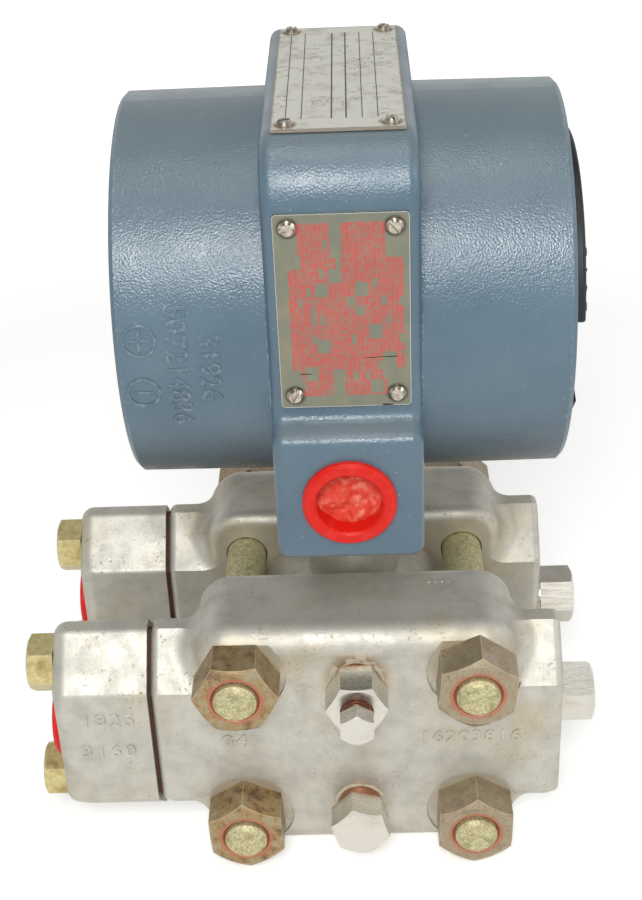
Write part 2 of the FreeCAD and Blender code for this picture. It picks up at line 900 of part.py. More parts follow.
def housing():
    body = new_body("housing_casting")
    place(body, axis_x, 0.0, d.barrel_height)
    band = new_sketch(body, "YZ_Plane")
    outline(
        band,
        [
            (-d.boss_reach, -d.band_bottom),
            (d.boss_reach, -d.band_bottom),
            (d.boss_reach, -d.boss_top),
            (d.band_reach, -d.boss_top + d.boss_ledge),
            (d.band_reach, d.band_top),
            (-d.band_reach, d.band_top),
            (-d.band_reach, -d.boss_top + d.boss_ledge),
            (-d.boss_reach, -d.boss_top),
        ],
    )
    block = pad(body, band, d.band_width, symmetric=True)
    for level, amount in (
        (d.band_top, d.band_top_corner),
        (-d.band_bottom, d.boss_corner),
        (-d.boss_top, d.boss_ledge_round),
        (-d.boss_top + d.boss_ledge, d.boss_ledge_round),
    ):
        corners = edge_names(
            block,
            lambda edge: edge.BoundBox.XLength > 1
            and near(edge.BoundBox.ZMin, level)
            and near(edge.BoundBox.ZMax, level),
        )
        block = dress(body, "Fillet", block, corners, amount)
    half_band = d.band_width / 2
    sides = edge_names(
        block,
        lambda edge: edge.BoundBox.XLength < 0.01 and near(abs(edge.BoundBox.XMin), half_band),
    )
    dress(body, "Fillet", block, sides, d.band_edge_round)

    barrel = new_sketch(body, "XZ_Plane")
    end = d.barrel_half_length
    edge = d.barrel_edge
    radius = d.barrel_radius
    outline(
        barrel,
        [
            (-end, 0.0),
            (-end, radius - edge),
            (-end + edge, radius),
            (0.0, radius + d.barrel_draft),
            (end - edge, radius),
            (end, radius - edge),
            (end, 0.0),
        ],
    )
    spun(body, "Revolution", barrel, "H_Axis")

    electronics = new_sketch(body, "XZ_Plane")
    cover_bore(electronics, 1, d.electronics_cover_recess, wall_far)
    spun(body, "Groove", electronics, "H_Axis")
    terminals = new_sketch(body, "XZ_Plane")
    cover_bore(terminals, -1, d.terminal_cover_recess, d.wall_side)
    spun(body, "Groove", terminals, "H_Axis")

    conduit = new_sketch(body, "XZ_Plane", d.boss_reach)
    circle(conduit, 0.0, -d.conduit_drop, d.conduit_radius)
    pocket(body, conduit, d.boss_reach * 2)
    neck = new_sketch(body, "XY_Plane", -d.band_bottom)
    circle(neck, 0.0, 0.0, d.neck_radius + d.thread_clearance)
    pocket(body, neck, d.neck_engagement, backwards=True)
    wires = new_sketch(body, "YZ_Plane", wall_far)
    circle(wires, 0.0, -d.conduit_drop + d.wire_hole_radius, d.wire_hole_radius)
    pocket(body, wires, d.wall_thickness)

    top = new_sketch(body, "XY_Plane", d.band_top)
    for x, y in data_screws:
        circle(top, x, y, d.plate_screw_radius + d.thread_clearance)
    pocket(body, top, d.plate_screw_length)
    front = new_sketch(body, "XZ_Plane", d.band_reach)
    for x, z in notice_screws:
        circle(front, x, z, d.plate_screw_radius + d.thread_clearance)
    pocket(body, front, d.plate_screw_length)


def end_cover(name, side, recess, facing, turn):
    rim = d.barrel_half_length
    body = new_body(name + "_cover")
    place(body, axis_x + side * (rim - recess), 0.0, d.barrel_height, facing, turn)
    flange = -d.cover_flange_thickness
    groove = flange - d.seal_groove_width
    low = groove - d.cover_thread_length
    neck = d.cover_flange_radius - d.seal_section
    edge = 0.8
    turned(
        body,
        [
            (0.0, 0.0),
            (d.cover_flange_radius - edge, 0.0),
            (d.cover_flange_radius, -edge),
            (d.cover_flange_radius, flange),
            (neck, flange),
            (neck, groove),
            (d.cover_thread_radius, groove),
            (d.cover_thread_radius, low),
            (d.cover_skirt_inner, low),
            (d.cover_skirt_inner, -d.cover_disc_thickness),
            (0.0, -d.cover_disc_thickness),
        ],
    )
    wings = new_sketch(body, "XY_Plane")
    circle(wings, 0.0, 0.0, d.wing_radius)
    block = pad(body, wings, d.wing_height)
    tops = edge_names(block, lambda edge: near(edge.BoundBox.ZMin, d.wing_height))
    dress(body, "Fillet", block, tops, d.wing_round)
    channel = new_sketch(body, "XY_Plane", d.wing_height)
    box_outline(
        channel,
        -d.cover_flange_radius,
        -d.wing_channel / 2,
        d.cover_flange_radius,
        d.wing_channel / 2,
    )
    pocket(body, channel, d.wing_height)

    seal = new_body(name + "_cover_seal")
    middle = rim - recess - d.cover_flange_thickness - d.seal_groove_width / 2
    place(seal, axis_x + side * middle, 0.0, d.barrel_height, facing)
    half = d.seal_section / 2
    outer = d.cover_flange_radius
    turned(seal, [(neck, -half), (outer, -half), (outer, half), (neck, half)])


def end_covers():
    end_cover("electronics", 1, d.electronics_cover_recess, to_right, d.wing_turn.value)
    end_cover("terminal", -1, d.terminal_cover_recess, to_left, -d.wing_turn.value)


def plates():
    data = new_body("data_plate")
    top = d.barrel_height + d.band_top
    place(data, axis_x, d.data_plate_shift, top)
    notice = new_body("notice_plate")
    middle = d.barrel_height + d.notice_plate_rise
    place(notice, axis_x, -d.band_reach, middle, to_front)
    for body, long_side, screws, along in (
        (data, d.data_plate_length, data_screws, d.data_plate_shift),
        (notice, d.notice_plate_height, notice_screws, d.notice_plate_rise),
    ):
        sheet_outline = new_sketch(body, "XY_Plane")
        half = d.plate_width / 2
        box_outline(sheet_outline, -half, -long_side / 2, half, long_side / 2)
        for x, y in screws:
            circle(sheet_outline, x, y - along, d.plate_screw_radius + d.thread_clearance)
        block = pad(body, sheet_outline, d.plate_thickness)
        corners = edge_names(
            block, lambda edge: edge.BoundBox.ZLength > 0.1 and len(edge.Vertexes) == 2
            and abs(edge.BoundBox.Center.x) > half.value - 0.01
        )
        dress(body, "Fillet", block, corners, d.plate_corner)

    screw = new_body("plate_screw", kept=False)
    low = -d.plate_screw_length
    turned(
        screw,
        [
            (0.0, low + d.plate_thickness),
            (d.plate_screw_radius, low + d.plate_thickness + 0.5),
            (d.plate_screw_radius, 0.0),
            (d.plate_screw_head_radius, 0.0),
            (d.plate_screw_head_radius, d.plate_screw_head * 0.35),
            (d.plate_screw_head_radius * 0.7, d.plate_screw_head),
            (0.0, d.plate_screw_head),
        ],
    )
    cut = new_sketch(screw, "XY_Plane", d.plate_screw_head)
    wide = d.plate_screw_head_radius
    box_outline(cut, -wide, -d.plate_screw_slot / 2, wide, d.plate_screw_slot / 2)
    pocket(screw, cut, d.plate_screw_slot_depth)
    lift = d.plate_thickness
    spots = [
        (x, y, top + lift, upright, turn)
        for (x, y), turn in zip(data_screws, (20.0, 75.0, 110.0, 55.0))
    ]
    copies("data_plate_screws", screw, spots)
    spots = [
        (x, -d.band_reach - lift, d.barrel_height + z, to_front, turn)
        for (x, z), turn in zip(notice_screws, (60.0, 15.0, 100.0, 130.0))
    ]
    copies("notice_plate_screws", screw, spots)


def terminal_block():
    body = new_body("terminal_block")
    place(body, axis_x + d.wall_side, 0.0, d.barrel_height, to_left)
    base = new_sketch(body, "XY_Plane")
    half_width = d.block_width / 2
    half_height = d.block_height / 2
    box_outline(base, -half_width, -half_height, half_width, half_height)
    block = pad(body, base, d.block_thickness)
    corners = edge_names(block, lambda edge: edge.BoundBox.ZLength > 1)
    dress(body, "Fillet", block, corners, d.block_corner)
    walls = new_sketch(body, "XY_Plane", d.block_thickness)
    for line in (-1, 0, 1):
        middle = line * d.terminal_pitch
        low = middle - d.barrier_thickness / 2
        box_outline(walls, low, 0.0, middle + d.barrier_thickness / 2, half_height - d.block_corner)
    pad(body, walls, d.barrier_height)
    holes = new_sketch(body, "XY_Plane", d.block_thickness)
    for x, y in terminal_spots:
        circle(holes, x, y, d.terminal_screw_radius + d.thread_clearance)
    pocket(body, holes, d.terminal_screw_length)
    fixings = new_sketch(body, "XY_Plane")
    for side in (-1, 1):
        x = side * d.block_screw_spacing / 2
        circle(fixings, x, -half_height / 2, d.terminal_screw_radius + d.thread_clearance)
    pocket(body, fixings)

    screw = new_body("terminal_screw", kept=False)
    turned(
        screw,
        [
            (0.0, -d.terminal_screw_length),
            (d.terminal_screw_radius, -d.terminal_screw_length),
            (d.terminal_screw_radius, 0.0),
            (d.terminal_head_radius, 0.0),
            (d.terminal_head_radius, d.terminal_head_height * 0.6),
            (d.terminal_head_radius * 0.8, d.terminal_head_height),
            (0.0, d.terminal_head_height),
        ],
    )
    slot = new_sketch(screw, "XY_Plane", d.terminal_head_height)
    wide = d.terminal_head_radius
    box_outline(slot, -wide, -d.plate_screw_slot / 2, wide, d.plate_screw_slot / 2)
    pocket(screw, slot, d.plate_screw_slot_depth)
    x = d.wall_side - d.block_thickness
    spots = [
        (x, -across, d.barrel_height + up, to_left, turn)
        for (across, up), turn in zip(terminal_spots, (10.0, 70.0, 35.0, 95.0))
    ]
    copies("terminal_screws", screw, spots)
    spots = [
        (x, side * d.block_screw_spacing / 2, d.barrel_height - half_height / 2, to_left, turn)
        for side, turn in ((-1, 25.0), (1, 80.0))
    ]
    copies("terminal_block_screws", screw, spots)


terminal_spots = [
    ((line + 0.5) * d.terminal_pitch, d.block_height / 5) for line in (-2, -1, 0, 1)
]


def round_board(name, x):
    body = new_body(name)
    place(body, axis_x + x, 0.0, d.barrel_height, to_right)
    disc = new_sketch(body, "XY_Plane")
    circle(disc, 0.0, 0.0, d.board_radius)
    for turn in post_turns:
        spot_x, spot_y = post_spot(turn)
        circle(disc, spot_x, spot_y, d.board_screw_radius + d.thread_clearance)
    pad(body, disc, d.board_thickness)


post_turns = (30, 150, 270)
first_board = wall_far + d.board_gap / 2
second_board = first_board + d.board_thickness + d.board_gap


def post_spot(turn):
    angle = math.radians(turn)
    return d.standoff_spread * round(math.cos(angle), 9), d.standoff_spread * math.sin(angle)


def boards():
    round_board("amplifier_board", first_board)
    round_board("calibration_board", second_board)
    for name, height, start in (
        ("wall_standoffs", d.board_gap / 2, wall_far),
        ("board_standoffs", d.board_gap, first_board + d.board_thickness),
    ):
        post = new_body(name + "_post", kept=False)
        outer = d.standoff_radius
        turned(post, [(0.0, 0.0), (outer, 0.0), (outer, height), (0.0, height)])
        spots = []
        for turn in post_turns:
            across, up = post_spot(turn)
            spots.append((start, across, d.barrel_height + up, to_right, 0.0))
        copies(name, post, spots)

    screw = new_body("board_screw", kept=False)
    head = d.board_screw_head_radius
    turned(
        screw,
        [
            (0.0, -d.board_thickness),
            (d.board_screw_radius, -d.board_thickness),
            (d.board_screw_radius, 0.0),
            (head, 0.0),
            (head, d.board_screw_head * 0.5),
            (head * 0.7, d.board_screw_head),
            (0.0, d.board_screw_head),
        ],
    )
    cut = new_sketch(screw, "XY_Plane", d.board_screw_head)
    box_outline(cut, -head, -d.plate_screw_slot / 2, head, d.plate_screw_slot / 2)
    pocket(screw, cut, d.plate_screw_slot_depth)
    face = second_board + d.board_thickness
    spots = []
    for turn in post_turns:
        across, up = post_spot(turn)
        spots.append((face, across, d.barrel_height + up, to_right, turn + 20.0))
    copies("board_screws", screw, spots)

    can = new_body("can", kept=False)
    outer = d.can_radius
    top = d.can_height
    turned(can, [(0.0, 0.0), (outer, 0.0), (outer, top - 0.6), (outer - 0.6, top), (0.0, top)])
    start = first_board + d.board_thickness
    spots = [
        (start, side * d.can_spread, d.barrel_height + up * d.can_spread / 2, to_right, 0.0)
        for side in (-1, 1)
        for up in (-1, 1)
    ]
    copies("board_capacitors", can, spots)

    for name, side in (("zero", -1), ("span", 1)):
        base = new_body(name + "_potentiometer")
        x = axis_x + face
        y = side * d.adjuster_spread
        z = d.barrel_height + d.adjuster_rise
        place(base, x, y, z, to_right)
        square = new_sketch(base, "XY_Plane")
        half = d.adjuster_body / 2
        box_outline(square, -half, -half, half, half)
        pad(base, square, d.adjuster_body_height)
        hole = new_sketch(base, "XY_Plane", d.adjuster_body_height)
        circle(hole, 0.0, 0.0, d.adjuster_screw_radius + d.running_fit)
        pocket(base, hole, d.adjuster_body_height)

        turner = new_body(name + "_adjuster")
        place(turner, x, y, z, to_right)
        low = d.adjuster_body_height * 0.2
        seat = d.adjuster_body_height + 0.3
        high = seat + d.adjuster_head_height
        turned(
            turner,
            [
                (0.0, low),
                (d.adjuster_screw_radius, low),
                (d.adjuster_screw_radius, seat),
                (d.adjuster_head_radius, seat),
                (d.adjuster_head_radius, high),
                (0.0, high),
            ],
        )
        slot = new_sketch(turner, "XY_Plane", high)
        wide = d.adjuster_head_radius + 0.5
        box_outline(slot, -wide, -d.adjuster_slot / 2, wide, d.adjuster_slot / 2)
        pocket(turner, slot, d.adjuster_slot_depth)


process_cover()
cover_gasket()
capsule()
diaphragm()
studs()
vents()
drains()
side_plugs()
connectors()
protectors()
housing()
end_covers()
plates()
terminal_block()
boards()
doc.recompute()

for item in doc.Objects:
    if "Invalid" in item.State or "Error" in item.State:
        raise RuntimeError("%s is %s" % (item.Name, item.State))
for part in sub_parts:
    if part.Shape.isNull() or not part.Shape.isValid() or not part.Shape.Solids:
        raise RuntimeError(part.Label + " has no sound solid")

os.makedirs("parts", exist_ok=True)
for part in sub_parts:
    part.Shape.exportStep("parts/%s.step" % part.Label)
print(len(sub_parts), "sub-parts written")
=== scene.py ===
import bpy
import math
from mathutils import Matrix, Vector


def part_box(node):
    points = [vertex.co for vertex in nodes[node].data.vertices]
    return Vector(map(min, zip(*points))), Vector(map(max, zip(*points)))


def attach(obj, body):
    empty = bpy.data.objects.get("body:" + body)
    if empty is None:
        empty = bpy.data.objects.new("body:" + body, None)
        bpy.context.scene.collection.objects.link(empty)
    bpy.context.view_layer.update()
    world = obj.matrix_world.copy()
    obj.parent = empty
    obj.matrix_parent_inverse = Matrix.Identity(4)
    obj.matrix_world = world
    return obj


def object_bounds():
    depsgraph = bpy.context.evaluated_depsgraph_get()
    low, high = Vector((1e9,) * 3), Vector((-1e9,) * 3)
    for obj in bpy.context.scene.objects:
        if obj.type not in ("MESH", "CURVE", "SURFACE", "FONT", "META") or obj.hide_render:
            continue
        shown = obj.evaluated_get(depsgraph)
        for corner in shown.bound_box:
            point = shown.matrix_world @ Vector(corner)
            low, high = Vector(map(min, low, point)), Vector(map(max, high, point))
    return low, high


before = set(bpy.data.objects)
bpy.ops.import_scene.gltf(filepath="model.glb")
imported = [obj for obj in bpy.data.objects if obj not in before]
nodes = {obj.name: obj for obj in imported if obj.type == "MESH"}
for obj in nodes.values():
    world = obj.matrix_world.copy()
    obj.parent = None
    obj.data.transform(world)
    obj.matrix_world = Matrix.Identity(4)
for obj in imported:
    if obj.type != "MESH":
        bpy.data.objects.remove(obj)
cadLow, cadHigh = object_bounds()
mm = 0.001
bpy.ops.object.select_all(action="DESELECT")
print("frame loaded,", len(nodes), "nodes")


def linear(hexColour):
    channels = [int(hexColour[i:i + 2], 16) / 255 for i in (1, 3, 5)]
    lit = [c / 12.92 if c < 0.04045 else ((c + 0.055) / 1.055) ** 2.4 for c in channels]
    return (*lit, 1.0)


def addNode(material, kind, inputs, out=0, stops=(), stepped=False, **settings):
    # one node, its inputs set or linked, its colour stops if it has any; gives back one output
    node = material.node_tree.nodes.new("ShaderNode" + kind)
    for name, value in settings.items():
        setattr(node, name, value)
    for socket, value in inputs.items():
        if isinstance(value, bpy.types.NodeSocket):
            material.node_tree.links.new(value, node.inputs[socket])
        else:
            given = linear(value) if isinstance(value, str) else value
            node.inputs[socket].default_value = given
    if stops:
        ramp = node.color_ramp
        ramp.interpolation = "CONSTANT" if stepped else "LINEAR"
        ramp.elements.remove(ramp.elements[1])
        ramp.elements[0].position, ramp.elements[0].color = stops[0][0], linear(stops[0][1])
        for place, colour in stops[1:]:
            ramp.elements.new(place).color = linear(colour)
    return node.outputs[out]


def newFinish(name, values):
    # a material, its shader, and by name the object's own coordinates ("place") and each noise of
    # the finish, given as millimetres from lump to lump, detail and roughness
    material = bpy.data.materials.new(name)
    material.use_nodes = True
    shader = material.node_tree.nodes["Principled BSDF"]
    shader.inputs["Base Color"].default_value = linear(values["colour"])
    shader.inputs["Roughness"].default_value = values["roughness"]
    shader.inputs["Metallic"].default_value = values.get("metallic", 0.0)
    place = addNode(material, "TexCoord", {}, "Object")
    maps = {"place": place}
    for layer, (lumpMm, detail, harshness) in values["noises"].items():
        inputs = {"Vector": place, "Scale": 1 / (lumpMm * mm), "Detail": detail}
        maps[layer] = addNode(material, "TexNoise", {**inputs, "Roughness": harshness})
    return material, shader, maps


def feed(material, shader, values, layers, **sources):
    # lays tints of the finish over its colour, each by its mask, and links all to the shader
    for mask, tint in layers:
        inputs = {0: mask, 6: sources["colour"], 7: values[tint]}
        sources["colour"] = addNode(material, "Mix", inputs, 2, data_type="RGBA")
    for name, source in sources.items():
        socket = "Base Color" if name == "colour" else name.capitalize()
        material.node_tree.links.new(source, shader.inputs[socket])


def worn(material, radiusMm, low, high, amount):
    # 0 on the flats, growing to amount along edges: compares a rounded normal with the true one
    soft = addNode(material, "Bevel", {"Radius": radiusMm * mm}, samples=4)
    true = addNode(material, "NewGeometry", {}, "True Normal")
    facing = addNode(material, "VectorMath", {0: soft, 1: true}, "Value", operation="DOT_PRODUCT")
    return addNode(material, "MapRange", {0: facing, 1: high, 2: low, 3: 0.0, 4: amount})


def distanceFrom(material, place, centres, axis):
    # metres from the nearest of some lines that run through centres along one of the frame's axes
    flat = [0.0 if name == axis else 1.0 for name in "XYZ"]
    closest = None
    for centre in centres:
        away = addNode(material, "VectorMath", {0: place, 1: centre}, operation="SUBTRACT")
        away = addNode(material, "VectorMath", {0: away, 1: flat}, operation="MULTIPLY")
        away = addNode(material, "VectorMath", {0: away}, "Value", operation="LENGTH")
        if closest:
            away = addNode(material, "Math", {0: closest, 1: away}, operation="MINIMUM")
        closest = away
    return closest


def middle(node):
    low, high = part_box(node)
    return (low + high) / 2


def cornerCentres(node, radius, axis):
    # middles of round pieces that stand in the four corners of a node, seen along an axis
    low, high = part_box(node)
    spans = {name: (low[i] + radius, high[i] - radius) for i, name in enumerate("XYZ")}
    spans[axis] = (0.0,)
    return [(x, y, z) for x in spans["X"] for y in spans["Y"] for z in spans["Z"]]


studCentres = cornerCentres("cover_studs", 6.35 * mm, "Y")  # half-inch studs
axisX = middle("neck_seal").x
barrelZ = middle("electronics_cover").z
coverFront = -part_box("front_process_cover")[0].y
ventCentre, drainCentre = middle("front_vent_plug"), middle("front_drain_plug")


# sprayed alkyd enamel on an aluminium casting: an orange-peel skin that breaks up highlights,
# paler where it faces up (dust and a painted sheen), darker where it faces down (painted shade)
# and pale chips along its edges
def blueGreyEnamel():
    enamel = {
        "colour": "#4d6778",
        "roughness": 0.26,
        "roughest": 0.38,
        "specular": 0.75,  # glossier than plain plastic
        "faded": "#5a7382",
        # dust, with a painted sheen of the pale surround, on faces that turn upwards
        "dustAndSheen": "#838a88",
        # painted shade of the faces that turn downwards
        "shadeAndGrime": "#34393b",
        "chip": "#a9b4b8",
        "peelDepthMm": 0.13,
        "wavesDepthMm": 0.14,
        "noises": {
            "fade": (26.0, 4.0, 0.5),
            "sheen": (14.0, 3.0, 0.5),
            "chip": (1.5, 3.0, 0.5),
            "peel": (0.55, 1.0, 0.5),
            "waves": (8.0, 1.0, 0.5),  # unevenness of the casting under the paint
        },
    }
    material, shader, maps = newFinish("sprayedBlueGreyEnamel", enamel)
    shader.inputs["Specular IOR Level"].default_value = enamel["specular"]
    stops = ((0.35, enamel["colour"]), (0.7, enamel["faded"]))
    colour = addNode(material, "ValToRGB", {0: maps["fade"]}, stops=stops)
    normal = addNode(material, "NewGeometry", {}, "Normal")
    upward = addNode(material, "SeparateXYZ", {0: normal}, "Z")
    # dust and painted sheen: faces that turn upwards are made paler
    dusty = addNode(material, "MapRange", {0: upward, 1: 0.5, 2: 1.0, 3: 0.0, 4: 0.45})
    # painted shade: faces that turn downwards are darkened
    under = addNode(material, "MapRange", {0: upward, 1: -0.35, 2: -0.95, 3: 0.0, 4: 0.95})
    specks = addNode(material, "MapRange", {0: maps["chip"], 1: 0.72, 2: 0.76, 3: 0.0, 4: 0.6})
    rubbed = worn(material, 1.0, 0.86, 0.97, 1.0)
    ragged = addNode(material, "MapRange", {0: maps["chip"], 1: 0.5, 2: 0.62, 3: 0.0, 4: 0.75})
    chips = addNode(material, "Math", {0: rubbed, 1: ragged}, operation="MULTIPLY")
    layers = ((dusty, "dustAndSheen"), (under, "shadeAndGrime"), (specks, "chip"), (chips, "chip"))
    gloss = addNode(
        material,
        "MapRange",
        {0: maps["sheen"], 1: 0.3, 2: 0.7, 3: enamel["roughness"], 4: enamel["roughest"]},
    )
    depth = enamel["wavesDepthMm"] * mm
    swell = addNode(
        material, "Bump", {"Height": maps["waves"], "Distance": depth, "Strength": 0.6}
    )
    depth = enamel["peelDepthMm"] * mm
    skin = addNode(
        material, "Bump", {"Height": maps["peel"], "Distance": depth, "Normal": swell}
    )
    feed(material, shader, enamel, layers, colour=colour, roughness=gloss, normal=skin)
    return material


# black stoved enamel of the screw-in covers: duller, with worn grey edges and a shallow skin
def blackEnamel():
    enamel = {
        "colour": "#141618",
        "roughness": 0.46,
        "worn": "#25292c",
        "edge": "#5d6264",
        "peelDepthMm": 0.06,
        "noises": {"cloud": (12.0, 4.0, 0.5), "peel": (0.7, 1.0, 0.5)},
    }
    material, shader, maps = newFinish("stovedBlackEnamel", enamel)
    stops = ((0.4, enamel["colour"]), (0.75, enamel["worn"]))
    colour = addNode(material, "ValToRGB", {0: maps["cloud"]}, stops=stops)
    layers = [(worn(material, 0.6, 0.86, 0.98, 0.6), "edge")]
    depth = enamel["peelDepthMm"] * mm
    skin = addNode(material, "Bump", {"Height": maps["peel"], "Distance": depth})
    feed(material, shader, enamel, layers, colour=colour, normal=skin)
    return material


# precision-cast 316 stainless, blasted and pickled: satin and nearly white on its slopes,
# with grey clouds, faint yellow-brown stains and fine dark pits left by the mould
def castStainless(name, crusts=()):
    steel = {
        "colour": "#ccc9be",
        "roughness": 0.44,
        "roughest": 0.58,
        "metallic": 0.58,  # the blasted skin scatters much of the light
        "grey": "#b1aea3",
        "stain": "#bfae8c",
        "pit": "#6d5f58",
        "crust": "#c9b591",
        "rust": "#8f6037",
        "pitDepthMm": 0.15,
        "wavesDepthMm": 0.1,
        "gritDepthMm": 0.07,
        "ringBlurMm": 2.0,
        "noises": {
            "cloud": (8.0, 5.0, 0.62),
            "stain": (18.0, 4.0, 0.5),
            "pit": (1.0, 3.0, 0.7),
            "area": (9.0, 2.0, 0.5),  # pits keep to some areas
            "waves": (11.0, 2.0, 0.5),
            "grit": (0.6, 2.0, 0.5),  # blasting grit
        },
    }
    material, shader, maps = newFinish(name, steel)
    stops = ((0.42, steel["colour"]), (0.8, steel["grey"]))
    colour = addNode(material, "ValToRGB", {0: maps["cloud"]}, stops=stops)
    stain = addNode(material, "MapRange", {0: maps["stain"], 1: 0.52, 2: 0.8, 3: 0.0, 4: 0.6})
    where = addNode(material, "MapRange", {0: maps["area"], 1: 0.45, 2: 0.62, 3: 0.0, 4: 0.55})
    pits = addNode(material, "MapRange", {0: maps["pit"], 1: 0.6, 2: 0.68})
    pits = addNode(material, "Math", {0: pits, 1: where}, operation="MULTIPLY")
    layers = [(stain, "stain"), (pits, "pit")]
    for spots, reach, fray, tint, strength in crusts:  # dried residue round a fitting
        away = distanceFrom(material, maps["place"], spots, "Y")
        inputs = {0: maps["pit"], 1: fray * mm, 2: away}
        ragged = addNode(material, "Math", inputs, operation="MULTIPLY_ADD")
        outer, inner = (reach + steel["ringBlurMm"]) * mm, reach * mm
        inputs = {0: ragged, 1: outer, 2: inner, 3: 0.0, 4: strength}
        layers.append((addNode(material, "MapRange", inputs), tint))
    satin = addNode(
        material,
        "MapRange",
        {0: maps["cloud"], 1: 0.3, 2: 0.7, 3: steel["roughness"], 4: steel["roughest"]},
    )
    depth = steel["wavesDepthMm"] * mm
    swell = addNode(
        material, "Bump", {"Height": maps["waves"], "Distance": depth, "Strength": 0.5}
    )
    depth = steel["gritDepthMm"] * mm
    skin = addNode(
        material, "Bump", {"Height": maps["grit"], "Distance": depth, "Normal": swell}
    )
    depth = steel["pitDepthMm"] * mm
    dents = addNode(
        material, "Bump", {"Height": pits, "Distance": depth, "Normal": skin}, invert=True
    )
    feed(material, shader, steel, layers, colour=colour, roughness=satin, normal=dents)
    return material


# turned and milled 316 stainless of the plugs: bright, with fine tool lines and rubbed edges;
# rust creeps up from the joint with the cover
def machinedStainless(name, axis, rustFrom=None, rustReach=1.0):
    steel = {
        "colour": "#d9d5cb",
        "roughness": 0.22,
        "roughest": 0.32,
        "metallic": 0.9,
        "tarnish": "#c3b8a4",
        "edge": "#efece4",
        "rust": "#9c5f36",
        "frayMm": 2.5,
        "linesPerMetre": 2200.0,  # tool lines, 0.45 mm apart
        "streaksPerMetre": 150.0,
        "lineDepthMm": 0.004,
        "noises": {"cloud": (9.0, 3.0, 0.5)},
    }
    material, shader, maps = newFinish(name, steel)
    stops = ((0.5, steel["colour"]), (0.85, steel["tarnish"]))
    colour = addNode(material, "ValToRGB", {0: maps["cloud"]}, stops=stops)
    layers = [(worn(material, 0.35, 0.85, 0.97, 0.8), "edge")]
    if rustFrom is not None:
        along = addNode(material, "SeparateXYZ", {0: maps["place"]}, axis)
        along = addNode(material, "Math", {0: along}, operation="ABSOLUTE")
        inputs = {0: maps["cloud"], 1: -steel["frayMm"] * mm, 2: along}
        along = addNode(material, "Math", inputs, operation="MULTIPLY_ADD")
        inputs = {0: along, 1: rustFrom + rustReach * mm, 2: rustFrom, 3: 0.0, 4: 0.85}
        layers.append((addNode(material, "MapRange", inputs), "rust"))
    close, wide = steel["linesPerMetre"], steel["streaksPerMetre"]
    squeeze = {"X": (wide, close, close), "Y": (wide, close, wide)}[axis]
    lines = addNode(material, "VectorMath", {0: maps["place"], 1: squeeze}, operation="MULTIPLY")
    lines = addNode(material, "TexNoise", {"Vector": lines, "Scale": 1.0, "Detail": 2.0})
    gloss = addNode(
        material,
        "MapRange",
        {0: lines, 1: 0.3, 2: 0.7, 3: steel["roughness"], 4: steel["roughest"]},
    )
    cuts = addNode(
        material, "Bump", {"Height": lines, "Distance": steel["lineDepthMm"] * mm}
    )
    feed(material, shader, steel, layers, colour=colour, roughness=gloss, normal=cuts)
    return material


# heavy hex nuts with old yellow zinc plating: golden brown, copper red where it wore at the bore,
# rubbed to a pale gold along the edges, greyer on the nuts towards the electronics side
def platedNut():
    plating = {
        "colour": "#a98a5c",
        "roughness": 0.26,
        "roughest": 0.48,
        "metallic": 0.5,  # the plating has gone partly chalky
        "boreMetallic": 0.2,
        "brown": "#6b5038",
        "green": "#a8a082",
        "grey": "#a59d8a",
        "pale": "#ecdcb4",
        "copper": "#b9694c",
        "boreMm": 8.8,  # radius of the worn rim
        "rimBlurMm": 0.5,
        "frayMm": 1.6,
        "speckDepthMm": 0.08,
        "greyFromMm": -20.0,  # across the cell, from the neck's axis
        "greyToMm": 20.0,
        "noises": {"cloud": (4.5, 5.0, 0.65), "speck": (0.9, 3.0, 0.7)},
    }
    material, shader, maps = newFinish("agedYellowZincNut", plating)
    place, cloud, speck = maps.values()
    stops = ((0.33, plating["brown"]), (0.48, plating["colour"]), (0.66, plating["green"]))
    colour = addNode(material, "ValToRGB", {0: cloud}, stops=stops)
    across = addNode(material, "SeparateXYZ", {0: place}, "X")
    start, stop = (axisX + plating[key] * mm for key in ("greyFromMm", "greyToMm"))
    faded = addNode(material, "MapRange", {0: across, 1: start, 2: stop, 3: 0.1, 4: 0.6})
    dark = addNode(material, "MapRange", {0: speck, 1: 0.56, 2: 0.66, 3: 0.0, 4: 0.5})
    away = distanceFrom(material, place, studCentres, "Y")
    inputs = {0: cloud, 1: plating["frayMm"] * mm, 2: away}
    away = addNode(material, "Math", inputs, operation="MULTIPLY_ADD")
    outer, inner = (plating["boreMm"] + plating["rimBlurMm"]) * mm, plating["boreMm"] * mm
    rim = addNode(material, "MapRange", {0: away, 1: outer, 2: inner, 3: 0.0, 4: 0.85})
    rubbed = worn(material, 0.5, 0.84, 0.97, 0.85)
    layers = ((faded, "grey"), (dark, "brown"), (rim, "copper"), (rubbed, "pale"))
    gloss = addNode(
        material,
        "MapRange",
        {0: speck, 1: 0.3, 2: 0.7, 3: plating["roughness"], 4: plating["roughest"]},
    )
    metal = addNode(
        material,
        "MapRange",
        {0: rim, 1: 0.0, 2: 0.85, 3: plating["metallic"], 4: plating["boreMetallic"]},
    )
    depth = plating["speckDepthMm"] * mm
    skin = addNode(material, "Bump", {"Height": speck, "Distance": depth})
    sources = {"colour": colour, "roughness": gloss, "metallic": metal, "normal": skin}
    feed(material, shader, plating, layers, **sources)
    return material


